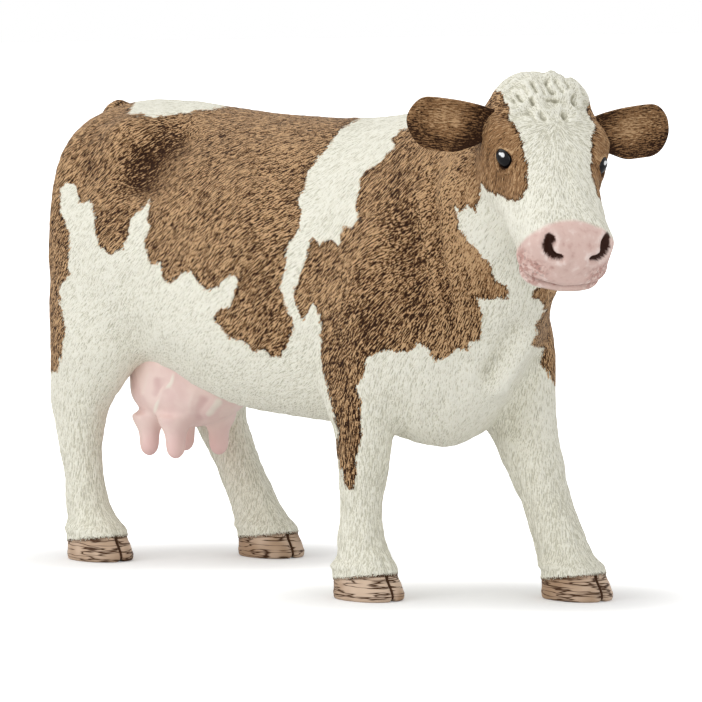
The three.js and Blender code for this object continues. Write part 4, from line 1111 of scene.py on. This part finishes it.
# %% Ears
EAR_AT, EAR_SWEEP, EAR_RISE = (0.17, 0.44, 0.14), 13.0, 6.0
EAR = np.array([  # place, reach up and down, back, rim and cup: shares of the ear's sizes
    [-0.12, 0.3, 0.2, 0.44, 0.34, 0.1], [0.0, 0.33, 0.22, 0.5, 0.42, 0.4],
    [0.2, 0.39, 0.38, 0.52, 0.46, 0.78], [0.45, 0.43, 0.52, 0.46, 0.44, 0.74],
    [0.68, 0.44, 0.52, 0.36, 0.36, 0.58], [0.86, 0.42, 0.44, 0.26, 0.26, 0.34],
    [1.0, 0.36, 0.34, 0.18, 0.14, 0.06]])
EAR_GRID, EAR_CLOSES, EAR_TIP_RINGS = (60, 96), 0.78, 30    # the tip closes from this share on
ALL_BROWN, NO_HOOF, EAR_SHORT = 5, -9, 0.9  # masks: mm inside a patch, mm off the horn, short hair
EAR_BOW, EAR_GRAIN, EAR_GRAIN_CELLS = 0.5, 0.07, (2.4, 0.45, 1)     # mm


def outward(points, faces):
    """The faces, turned round if the volume they close is negative."""
    a, b, c = (points[np.array([f[k] for f in faces])] for k in range(3))
    return faces if np.sum(np.cross(a, b) * c) > 0 else [f[::-1] for f in faces]


def ear_axes(side):
    """Outwards and swept back, then pricked; up; and square to both."""
    sweep, rise = np.radians([EAR_SWEEP, EAR_RISE])
    out = HEAD_TURN @ np.array([-np.sin(sweep), side * np.cos(sweep), 0])
    out = unit([out[0], out[1], np.sin(rise)])
    up = unit(Z - out[2] * out)
    return out, up, np.cross(out, up)


def ear(side):
    """Section: reach * cos(a) across; behind, back * |sin a|; in front, rim * |sin a|^0.6
    - cup * sin(a)^2. The tip closes as a quarter circle."""
    steps, sides = EAR_GRID
    turn = np.linspace(0.03, 1, EAR_TIP_RINGS) * np.pi / 2
    tip = EAR_CLOSES + (1 - EAR_CLOSES) * np.sin(turn)
    places = np.concatenate([np.linspace(EAR[0, 0], EAR_CLOSES, steps), tip])
    close = np.concatenate([np.ones(steps), np.cos(turn)])[:, None]
    above, below, back, rim, cup = (c[:, None] for c in read_rows(EAR, np.minimum(places, 1.0)).T)
    a = round_angles(sides)
    s, c = np.sin(a) * side, np.cos(a)
    u = np.where(c > 0, above, below) * c * close * EAR_HEIGHT
    front = rim * np.abs(s) ** 0.6 - cup * s**2
    x = np.broadcast_to(places[:, None] * EAR_LENGTH, u.shape)
    grain = noise(np.stack([x, u, 0 * u], -1).reshape(-1, 3) / EAR_GRAIN_CELLS, 21).reshape(u.shape)
    v = np.where(s > 0, front, -back * np.abs(s)) * close * EAR_THICKNESS
    v = v + EAR_GRAIN * grain * close * s
    v = (v + EAR_BOW * (x / EAR_LENGTH) ** 2 * close) * side
    points = np.stack([x, u, v], -1).reshape(-1, 3)
    hubs = np.array([[places[0] * EAR_LENGTH, 0, 0], [x[-1, 0] + 0.01, u[-1].mean(), v[-1].mean()]])
    share = np.clip(places[:, None], 0, 1)
    # The ear's shade and tone: painted light in the middle of the cup and at the rim's edge, painted shade
    # towards the base and over the lower half, and a darker tone all over.
    centre = bell(share - 0.52, 0.26) * bell(c - 0.15, 0.55)
    base, low, edge = 1 - step(0.12, 0.45, share), 1 - step(-0.9, 0.1, c), 1 - step(0.1, 0.3, s)
    inside = 0.25 - 0.75 * centre + 0.45 * base + 0.35 * low - 0.3 * edge
    wash = np.append(np.where(s > 0, inside, 0.2), [0, 0])
    return np.concatenate([points, hubs]), ring_faces(len(places), sides), wash


def plain(points, **data):
    """Masks of a piece that is all brown hair, apart from the ones that are given."""
    values = {"brown": ALL_BROWN, "hoof": NO_HOOF, "pink": 0, "stubble": 0, "nostril": 0}
    values.update(data)
    fields = {key: np.asarray(value, float) for key, value in values.items()}
    return {key: field if field.ndim else np.full(len(points), field) for key, field in fields.items()}


for side, name in ((1, "left_ear_coat"), (-1, "right_ear_coat")):
    points, faces, wash = ear(side)
    axes = ear_axes(side)
    points, faces = placed((points, faces), SKULL + HEAD_TURN @ head_size(EAR_AT, side), axes)
    way = np.broadcast_to(axes[0], points.shape)
    data = plain(points, hollow=0, wash=wash, comb=way, short=EAR_SHORT)
    meshes[name] = mesh_from(name, points, outward(points, faces), data)

# %% [markdown]
# ## The udder and the tail

# %% Udder
UDDER_AT = np.array([back_x(0.196), -0.6, 0.29 * BACK_HEIGHT])
UDDER_VOXEL, UDDER_RELAX, UDDER_GRAIN = 0.25, (0.1, 0.4, 60), 0.05
BAG_GRID, BAG_DOME, BAG_LEAN = (50, 72), 0.34, 0.06
TEAT_GRID, TEAT_DOME, TEAT_HANG = (24, 32), 0.3, 0.86
# Rows of the bag: height, half sizes to the front and back, half width. Teats: forward and aside;
# rows of one: height and half thickness
UDDER = [[0.0, 0.3, 0.34, 0.36], [0.14, 0.37, 0.4, 0.43], [0.35, 0.43, 0.44, 0.48],
         [0.7, 0.46, 0.46, 0.5], [1.0, 0.42, 0.42, 0.46]]
TEATS = [(0.06, 0.26), (0.1, -0.27), (-0.26, 0.24), (-0.16, -0.27)]
TEAT = [(0.0, 0.4), (0.35, 0.46), (0.7, 0.5), (1.0, 0.75), (1.3, 0.95)]
UDDER_FOLDS = [
    ([(176, 366), (172, 382), (162, 392), (157, 405), (153, 420)], 0.4, 0.2),
    ([(224, 396), (212, 408), (202, 420)], 0.9, 0.2), ([(196, 386), (190, 404), (192, 422)], 0.6, 0.1),
    ([(150, 366), (146, 384), (142, 400)], 0.6, 0.1), ([(166, 384), (176, 392), (182, 404)], 0.5, 0.1),
    ([(158, 372), (160, 390), (152, 402)], 1.4, -0.15),
    ([(206, 392), (200, 406), (196, 424)], 1.4, -0.15),
]


def udder_parts():
    """The bag, and four teats that hang from it."""
    h, front, back, width = np.array(UDDER).T
    wide = width * UDDER_WIDTH
    bag = rows_of(h * UDDER_HEIGHT, BAG_LEAN * h * UDDER_LENGTH, 0, front * UDDER_LENGTH,
                  back * UDDER_LENGTH, wide, wide, 2, 2)
    parts = [placed(loft(bag, BAG_GRID, (BAG_DOME * UDDER_HEIGHT, 0)), UDDER_AT, UPRIGHT)]
    t, half = np.array(TEAT).T
    teat = rows_of(t * TEAT_LENGTH, 0, 0, *[half * TEAT_DIAMETER] * 4, 2, 2)
    for along, side in TEATS:
        foot = UDDER_AT + [along * UDDER_LENGTH, side * UDDER_WIDTH, -TEAT_HANG * TEAT_LENGTH]
        parts.append(placed(loft(teat, TEAT_GRID, (TEAT_DOME * TEAT_LENGTH, 0)), foot, UPRIGHT))
    return parts


points, quads = wrapped("udder_skin", udder_parts(), UDDER_VOXEL)
least, more, rounds = UDDER_RELAX
weight = least + more * step(-2, 3, points[:, 2] - UDDER_AT[2])
points = relaxed(points, neighbours(quads), weight, rounds)
calm = normals_of(points, quads)
lift = shown(calm) * drawn(picture(points), UDDER_FOLDS)
lift += UDDER_GRAIN * noise(points / [1.6, 1.6, 2.6], 5)
points = points + calm * lift[:, None]
teat = 1 - step(-TEAT_LENGTH, 1.0, points[:, 2] - UDDER_AT[2])
# The relief's lift goes to the paint, which lights the raised veins and darkens the folds: painted
# highlight and painted shade.
meshes["udder_skin"] = mesh_from("udder_skin", points, quads.tolist(), {"teat": teat, "relief_for_shading": lift})

# %% Tail
TAIL = [  # shares of the body's length from the rump, of half its width, and of its height
    (0.065, 0, 0.92), (0.04, 0, 0.955), (0.012, 0, 0.972), (-0.012, 0, 0.93), (-0.022, 0, 0.84),
    (-0.026, -0.02, 0.7), (-0.026, -0.12, 0.56), (-0.022, -0.26, 0.46), (-0.016, -0.38, 0.38),
    (-0.006, -0.44, 0.3)]
TAIL_HALF = [(0, 0.2), (0.07, 0.34), (0.12, 0.4), (0.3, 0.34), (0.55, 0.28), (0.72, 0.3), (0.84, 0.46),
             (0.93, 0.44), (1, 0.12)]       # share of its length, half thickness over the tuft's
TAIL_STEPS, TAIL_SIDES, TAIL_STRANDS, TAIL_TWIST = 200, 64, 9, 5
FLUTE_DEPTH, SWITCH_DEPTH = 0.06, 0.16      # shares of the radius: along the tail, more in its switch


def smooth_path(stops, count):
    """A curve through the stops: cubic pieces whose slope at a stop is half the chord of its
    neighbours, read at equal steps of length."""
    p = np.concatenate([[2 * stops[0] - stops[1]], stops, [2 * stops[-1] - stops[-2]]])
    t = np.linspace(0, len(stops) - 1 - 1e-6, 40 * len(stops))
    i = t.astype(int)
    f = (t - i)[:, None]
    a, b, c, d = p[i], p[i + 1], p[i + 2], p[i + 3]
    bend, twist = 2 * a - 5 * b + 4 * c - d, 3 * b - a - 3 * c + d
    curve = 0.5 * (2 * b + (c - a) * f + bend * f**2 + twist * f**3)
    length = np.concatenate([[0], np.cumsum(np.linalg.norm(np.diff(curve, axis=0), axis=1))])
    even = np.linspace(0, length[-1], count)
    return np.stack([np.interp(even, length, curve[:, k]) for k in range(3)], 1)


def tail():
    """Rings round a path. Each ring is fluted like twisted hair: radius * (1 + depth * |sin|), and
    the flutes turn slowly along the tail and deepen in its switch."""
    stops = np.array(TAIL) * [BODY_LENGTH, HALF, BACK_HEIGHT] + [RUMP_X, 0, 0]
    path = smooth_path(stops, TAIL_STEPS)
    share = np.linspace(0, 1, TAIL_STEPS)
    half = np.interp(share, *np.array(TAIL_HALF).T) * TUFT_DIAMETER
    half = half * np.sqrt(np.clip((1.0 - share) / 0.03, 0.02, 1))
    ahead = unit(np.gradient(path, axis=0))
    left = unit(np.cross(ahead, [-1.0, 0.0, 0.3]))
    up = np.cross(ahead, left)
    a = round_angles(TAIL_SIDES)
    depth = (FLUTE_DEPTH + SWITCH_DEPTH * step(0.7, 0.85, share))[:, None]
    flute = np.abs(np.sin(TAIL_STRANDS / 2 * (a[None] + TAIL_TWIST * share[:, None])))
    r = (half[:, None] * (1 - depth + 1.4 * depth * flute))[..., None]
    ring = path[:, None] + r * (np.cos(a)[:, None] * left[:, None] + np.sin(a)[:, None] * up[:, None])
    points = np.concatenate([ring.reshape(-1, 3), path[[0, -1]]])
    # The flutes' hollows are darkened by the paint as painted shade, and the switch's end is painted a
    # darker tone.
    hollow = np.append((0.6 - flute) * depth * 1.2, [0, 0])
    dark = np.append(np.repeat(0.7 * step(0.74, 0.86, share), TAIL_SIDES), [0, 0.7])
    way = np.concatenate([np.repeat(ahead, TAIL_SIDES, axis=0), ahead[[0, -1]]])
    data = plain(points, hollow=hollow, wash=dark, comb=way, short=0)
    return points, ring_faces(TAIL_STEPS, TAIL_SIDES), data


points, faces, data = tail()
meshes["tail_coat"] = mesh_from("tail_coat", points, outward(points, faces), data)
print(sorted(meshes))

# %% [markdown]
# ## The eyes

# %% Eyes
EYEBALL = np.array([1.18 * EYE_LENGTH, 1.12 * EYE_WIDTH, 1.0])  # half sizes, mm
EYE_SUNK = 0.62                                         # mm that its middle lies behind the lids
GLINTS = [((-0.3, 0.3), 0.24), ((-0.55, 0.1), 0.14)]    # painted: place and size, shares of the eye


def eyeball(side):
    """An egg seated behind the lids, and how white its painted glint is at each point."""
    ball, faces = ball_shape((0, 0, 0), (1, 1, 1))
    at, axes = EYE_SEAT
    local = at - EYE_SUNK * axes[2] + (ball * EYEBALL) @ axes
    points = SKULL + (local * [1, side, 1]) @ HEAD_TURN.T
    glint = sum(bell((np.hypot(*(ball[:, :2] - place).T) / size) ** 2) for place, size in GLINTS)
    return points, outward(points, faces), glint * (ball[:, 2] > 0)


# %% [markdown]
# ## Painting
#
# Paint goes on in layers: a base colour, painted shade that darkens the hair's grooves, the folds
# and shaded places, and painted light on the ridges and lit places. The shader follows that order.
# Its sums are written as plain expressions: a wrapped socket adds and multiplies like a number.

# %% Sockets that work like numbers
STRAND_GAIN = 2.4


class Tint:
    """An output socket of a tree of nodes."""

    def __init__(self, paint, socket):
        self.paint, self.socket = paint, socket

    def math(self, operation, *values):
        return self.paint.node("ShaderNodeMath", {"operation": operation}, dict(enumerate(values)))

    def __add__(self, other):
        return self.math("ADD", self, other)

    def __sub__(self, other):
        return self.math("SUBTRACT", self, other)

    def __rsub__(self, other):
        return self.math("SUBTRACT", other, self)

    def __mul__(self, other):
        return self.math("MULTIPLY", self, other)

    def size(self):
        return self.math("ABSOLUTE", self)

    def most(self, other):
        return self.math("MAXIMUM", self, other)

    def rise(self, low, high):
        """0 below low, 1 above high, smooth between."""
        values = {0: self, 1: low, 2: high, 3: 0.0, 4: 1.0}
        return self.paint.node("ShaderNodeMapRange", {"interpolation_type": "SMOOTHSTEP"}, values)

    __radd__, __rmul__ = __add__, __mul__


class Paint:
    """The nodes of a material or a world, and the way they are added."""

    def __init__(self, owner):
        owner.use_nodes = True
        self.owner, self.tree = owner, owner.node_tree

    def node(self, kind, settings=None, inputs=None, output=0):
        """One node: its settings first, then a value or a link for each named or numbered input."""
        made = self.tree.nodes.new(kind)
        for key, value in (settings or {}).items():
            setattr(made, key, value)
        self.fill(made, inputs or {})
        return Tint(self, made.outputs[output])

    def fill(self, made, inputs):
        for key, value in inputs.items():
            socket = made.inputs[key]
            if isinstance(value, Tint):
                self.tree.links.new(value.socket, socket)
            elif socket.type == "RGBA" and len(value) == 3:
                socket.default_value = (*value, 1)
            else:
                socket.default_value = value

    def mask(self, name, kind="Fac"):
        return self.node("ShaderNodeAttribute", {"attribute_name": name}, output=kind)

    def place(self):
        return self.node("ShaderNodeTexCoord", output="Object")

    def vector(self, operation, *values, output=0):
        return self.node("ShaderNodeVectorMath", {"operation": operation}, dict(enumerate(values)), output)

    def mix(self, share, first, second):
        """From the first colour to the second by a share."""
        settings = {"data_type": "RGBA", "clamp_factor": True}
        return self.node("ShaderNodeMix", settings, {0: share, 6: first, 7: second}, output=2)

    def layers(self, tone, low, high, colours):
        """The darkest colour below low, the base between and the lightest above high: painted shade and
        painted light where the tone follows hollows, grooves and shaded places, the coat's own tone
        elsewhere.
        """
        dark, base, light = colours
        return self.mix(tone.rise(*low), dark, self.mix(tone.rise(*high), base, light))

    def grain(self, place, scale=1.0, detail=2.0):
        """Cloudy noise round one half, with that many cells in a metre."""
        inputs = {"Vector": place, "Scale": scale, "Detail": detail, "Roughness": 0.5}
        return self.node("ShaderNodeTexNoise", None, inputs, "Fac")

    def speckle(self, place, scale, detail=2.0):
        """The same noise round zero."""
        return self.grain(place, scale, detail) - 0.5

    def strands(self, place, comb, cells, reach):
        """Noise round zero, averaged at five places along the hair, so that each cell is drawn out
        to a stroke, and raised to its old contrast again."""
        total = 0.0
        for k in range(-2, 3):
            shifted = self.vector("MULTIPLY_ADD", comb, (k * reach,) * 3, place)
            total = total + self.grain(shifted, cells, 0.0)
        return (total * 0.2 - 0.5) * STRAND_GAIN

    def relief(self, height, distance):
        return self.node("ShaderNodeBump", None, {"Strength": 1.0, "Distance": distance, "Height": height})

    def finish(self, **inputs):
        named = {key.replace("_", " "): value for key, value in inputs.items()}
        self.fill(self.tree.nodes["Principled BSDF"], named)
        return self.owner


def srgb(r, g, b):
    """A colour written as on a paint card, 0 to 255, as the light it sends back."""
    c = np.array([r, g, b]) / 255
    return tuple(np.where(c <= 0.04045, c / 12.92, ((c + 0.055) / 1.055) ** 2.4).tolist())


# %% Colours, darkest first, and how strongly each mask tells
# The darkest colour of BROWNS, CREAMS and PINKS is partly painted shade in grooves, hollows and shaded
# places and partly the coat's own random tone; the lightest is partly painted light on ridges and lit
# places. HORNS' darkest is the horn's grain lines and painted shade in its cleft and hollows.
BROWNS = srgb(44, 21, 3), srgb(146, 109, 73), srgb(206, 169, 127)
CREAMS = srgb(206, 203, 184), srgb(240, 237, 220), srgb(248, 246, 232)
PINKS = srgb(190, 144, 134), srgb(226, 196, 186), srgb(246, 226, 218)
HORNS = srgb(70, 44, 24), srgb(172, 142, 115), srgb(214, 189, 166)
CREAM_HOLLOW_SHADE, NOSTRIL_DARK = srgb(150, 146, 126), srgb(52, 26, 16)
UDDER_LIGHT, UDDER_MILD = srgb(250, 224, 216), srgb(240, 208, 202)
UDDER_VEIN_HIGHLIGHT, UDDER_FOLD_SHADE, UDDER_TEAT = srgb(252, 240, 228), srgb(224, 186, 182), srgb(240, 190, 188)
EYE_BLACK, EYE_GLINT = (0.004, 0.004, 0.005), (0.85, 0.87, 0.88)
STROKES, FINE_STROKES = (5600.0, 0.00014), (8600.0, 0.00008)    # cells in a metre; reach in metres
# A tone is a start plus shares of: the strands, the strands of short hair, hollow, shade and tone, and
# cloud. Hollow and shade darken it as painted shade; the strands' grooves and ridges are painted shade
# and light as well as the hair's own streaks.
BROWN_TONE = (0.5, 5.0, -3.6, -2.1, -0.58, 0.5)
CREAM_TONE = (0.74, 3.0, 0.4, -1.9, -0.35, 0.2)
RIM_DARK = 0.3                              # the brown is darker just inside a patch's edge


# %% The coat
def coat_paint():
    """Cream and brown hair, split where the brown mask crosses zero, then pink skin, the stubble's
    dots, the nostrils, and last the horn of the hooves with its dark lines."""
    p = Paint(bpy.data.materials.new("painted_coat"))
    place, comb, short = p.place(), p.mask("comb", "Vector"), p.mask("short")
    hollow, wash, stubble = p.mask("hollow"), p.mask("wash"), p.mask("stubble")
    strokes = p.strands(place, comb, *STROKES)
    hair = strokes * 0.7 + p.strands(place, comb, *FINE_STROKES) * 0.3
    cloud = p.speckle(place, 140.0)

    # A tone: the strands make the hair's grooves darker and its ridges lighter, painted shade and light as
    # well as the hair's own streaks; the hollow and shading masks darken it as painted shade, and lighten
    # it as painted light where negative.
    def tone(start, long_hair, short_hair, *shares):
        total = start + hair * (long_hair + short * short_hair)
        for mask, share in zip((hollow, wash, cloud), shares):
            total = total + mask * share
        return total

    inside = p.mask("brown") + strokes * 0.8 + p.speckle(place, 900.0, 1.0) * 0.9
    rim = inside.rise(-0.1, 0.1) * (1 - inside.rise(0.2, 0.6))
    umber = p.layers(tone(*BROWN_TONE) - rim * RIM_DARK, (0.05, 0.5), (0.5, 0.95), BROWNS)
    cream = p.layers(tone(*CREAM_TONE), (0.0, 0.7), (0.55, 0.9), CREAMS)
    # Painted shade in the deepest grooves of the cream hair, most in the poll's curls.
    cream = p.mix(hollow.rise(0.12, 0.45) * 0.8, cream, CREAM_HOLLOW_SHADE)
    colour = p.mix(inside.rise(-0.07, 0.07), cream, umber)
    pink = (p.mask("pink") + cloud * 0.5).rise(0.25, 0.75)
    # Pink skin: painted shade in its hollows, and a random mottle.
    flesh = 0.5 - hollow * 1.5 + p.speckle(place, 900.0, 3.0) * 1.2
    colour = p.mix(pink, colour, p.layers(flesh, (0.0, 0.5), (0.55, 1.0), PINKS))
    colour = p.mix(p.grain(place, 1500.0, 1.0).rise(0.4, 0.6) * stubble * 0.8, colour, PINKS[0])
    dots = p.grain(place, 2400.0, 0.0).rise(0.58, 0.68) * stubble * 0.3
    colour = p.mix(dots.most(p.mask("nostril")), colour, NOSTRIL_DARK)
    along_horn = p.vector("MULTIPLY", place, (150.0, 150.0, 1500.0))
    lines = 1 - (p.grain(along_horn) - 0.47).size().rise(0.005, 0.055)
    down = p.mask("hoof") + strokes
    horn = p.mix(lines, p.mix(cloud.rise(-0.15, 0.15), HORNS[1], HORNS[2]), HORNS[0])
    # The horn darkens in the cleft and hollows as painted shade, and just under the hair line.
    horn = p.mix(hollow.rise(0.02, 0.1).most((1 - down.rise(0.1, 0.35)) * 0.7), horn, HORNS[0])
    hoof = down.rise(-0.06, 0.06)
    soft = (1 - pink) * (1 - hoof)
    return p.finish(Base_Color=p.mix(hoof, colour, horn), Roughness=0.5 + soft * 0.15,
                    Normal=p.relief((hair + 0.5) * soft, 0.0002), Specular_IOR_Level=0.14)


def udder_paint():
    """Mottled pink, with painted highlights on its raised veins, painted shade in its folds, and deeper
    pink on the teats.
    """
    p = Paint(bpy.data.materials.new("painted_udder"))
    cloud = p.grain(p.vector("MULTIPLY", p.place(), (220.0, 220.0, 160.0)), 1.0, 3.0)
    relief_for_shading = p.mask("relief_for_shading")
    colour = p.mix(cloud.rise(0.35, 0.7), UDDER_LIGHT, UDDER_MILD)
    # Painted highlight on the raised veins and painted shade in the folds, from the relief's lift.
    colour = p.mix(relief_for_shading.rise(0.05, 0.2), colour, UDDER_VEIN_HIGHLIGHT)
    colour = p.mix((0.0 - relief_for_shading).rise(0.04, 0.2), colour, UDDER_FOLD_SHADE)
    colour = p.mix(p.mask("teat") * 0.6, colour, UDDER_TEAT)
    return p.finish(Base_Color=colour, Roughness=0.45 + cloud * 0.1, Normal=p.relief(cloud, 0.0001))


def eye_paint():
    p = Paint(bpy.data.materials.new("glossy_eye"))
    colour = p.mix(p.mask("glint").rise(0.3, 0.7), EYE_BLACK, EYE_GLINT)
    return p.finish(Base_Color=colour, Roughness=0.12, Specular_IOR_Level=0.25)


coat, udder, eye = coat_paint(), udder_paint(), eye_paint()
print("paints ready")

# %% [markdown]
# ## Putting the figure together

# %% Pieces on the frame
REPLACED = {"torso_coat": "torso", "head_coat": "head", "udder_skin": "udder", "tail_coat": "tail",
            "right_ear_coat": "right_ear", "left_ear_coat": "left_ear",
            **{leg + "_coat": leg for leg in LEGS}}


def seated(name, mesh, paint):
    """Moves a mesh's points from the workshop's millimetres to the frame, and rides it there."""
    places = np.empty(len(mesh.vertices) * 3, np.float32)
    mesh.vertices.foreach_get("co", places)
    places = (places.reshape(-1, 3) - MIDDLE) * MM
    mesh.vertices.foreach_set("co", places.astype(np.float32).ravel())
    mesh.polygons.foreach_set("use_smooth", np.ones(len(mesh.polygons), bool))
    mesh.materials.append(paint)
    mesh.update()
    piece = linked(name, mesh)
    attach(piece, "root")
    return piece


for name, mesh in meshes.items():
    node = REPLACED[name]
    piece = seated(name, mesh, udder if node == "udder" else coat)
    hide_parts(node)
for side, name in ((1, "left_eye"), (-1, "right_eye")):
    points, faces, glint = eyeball(side)
    piece = seated(name, mesh_from(name, points, faces, {"glint": glint}), eye)

# %% [markdown]
# ## Floor, light and background
#
# The floor is plain and pale. Round each hoof it shows the figure's soft shadow, and further off it
# fades into the white of the room, for the camera only. Three large soft lamps stand round the
# figure: one high on the left and one on either side of the camera.

# %% Floor, light and background
BLACK, GREY, PALE, WHITE = ((level,) * 3 for level in (0.0, 0.22, 0.8, 1.0))
FLOOR_HALF, SHADOW_REACH = 4.0, (0.006, 0.04)   # metres; the shadow fades over these distances
ROOM_LIGHT = 0.64                           # the room's light on the figure; a camera sees it at 1
SEEN_WHITE = ("Is Camera Ray", "Is Glossy Ray", "Is Transmission Ray")
LAMP_AWAY = 1.0                             # metres

corners = [(x * FLOOR_HALF, y * FLOOR_HALF, 0) for x, y in ((-1, -1), (1, -1), (1, 1), (-1, 1))]
floor = linked("floor", mesh_of("floor", corners, [[0, 1, 2, 3]]))
p = Paint(bpy.data.materials.new("pale_floor"))
away = 1.0
for place, side, _, _ in LEGS.values():
    foot = ((back_x(place) - MIDDLE[0]) * MM, (side * HALF - MIDDLE[1]) * MM, 0)
    away = away * p.vector("DISTANCE", p.place(), foot, output="Value").rise(*SHADOW_REACH)
seen = p.node("ShaderNodeLightPath", output="Is Camera Ray")
glow = p.mix(seen, BLACK, p.mix(away, GREY, WHITE))
floor.data.materials.append(
    p.finish(Base_Color=PALE, Roughness=0.9, Emission_Color=glow, Emission_Strength=1.0))

world = bpy.data.worlds.new("white_room")
bpy.context.scene.world = world
room = Paint(world)
white = 0.0
for kind in SEEN_WHITE:
    white = room.node("ShaderNodeLightPath", output=kind).most(white)
strength = ROOM_LIGHT + white * (1 - ROOM_LIGHT)
room.fill(world.node_tree.nodes["Background"], {"Color": WHITE, "Strength": strength})


def lamp(name, way, size, energy):
    """A square soft lamp that shines on the figure from a direction."""
    light = bpy.data.lights.new(name, "AREA")
    light.size, light.energy = size, energy
    made = linked(name, light)
    made.location = unit(way) * LAMP_AWAY
    made.rotation_euler = Vector(-unit(way)).to_track_quat("-Z", "Y").to_euler()


TO_CAMERA = -AHEAD * [1, 1, 0]
lamp("overhead", TO_CAMERA * 0.1 - RIGHTWARD * 0.7 + Z * 1.6, 0.8, 2.4)
lamp("front_left", TO_CAMERA * 0.8 - RIGHTWARD * 1.2 + Z * 0.35, 0.6, 2.3)
lamp("front_right", TO_CAMERA + RIGHTWARD * 0.6 + Z * 0.3, 0.5, 1.1)
bpy.context.scene.view_settings.view_transform = "Standard"
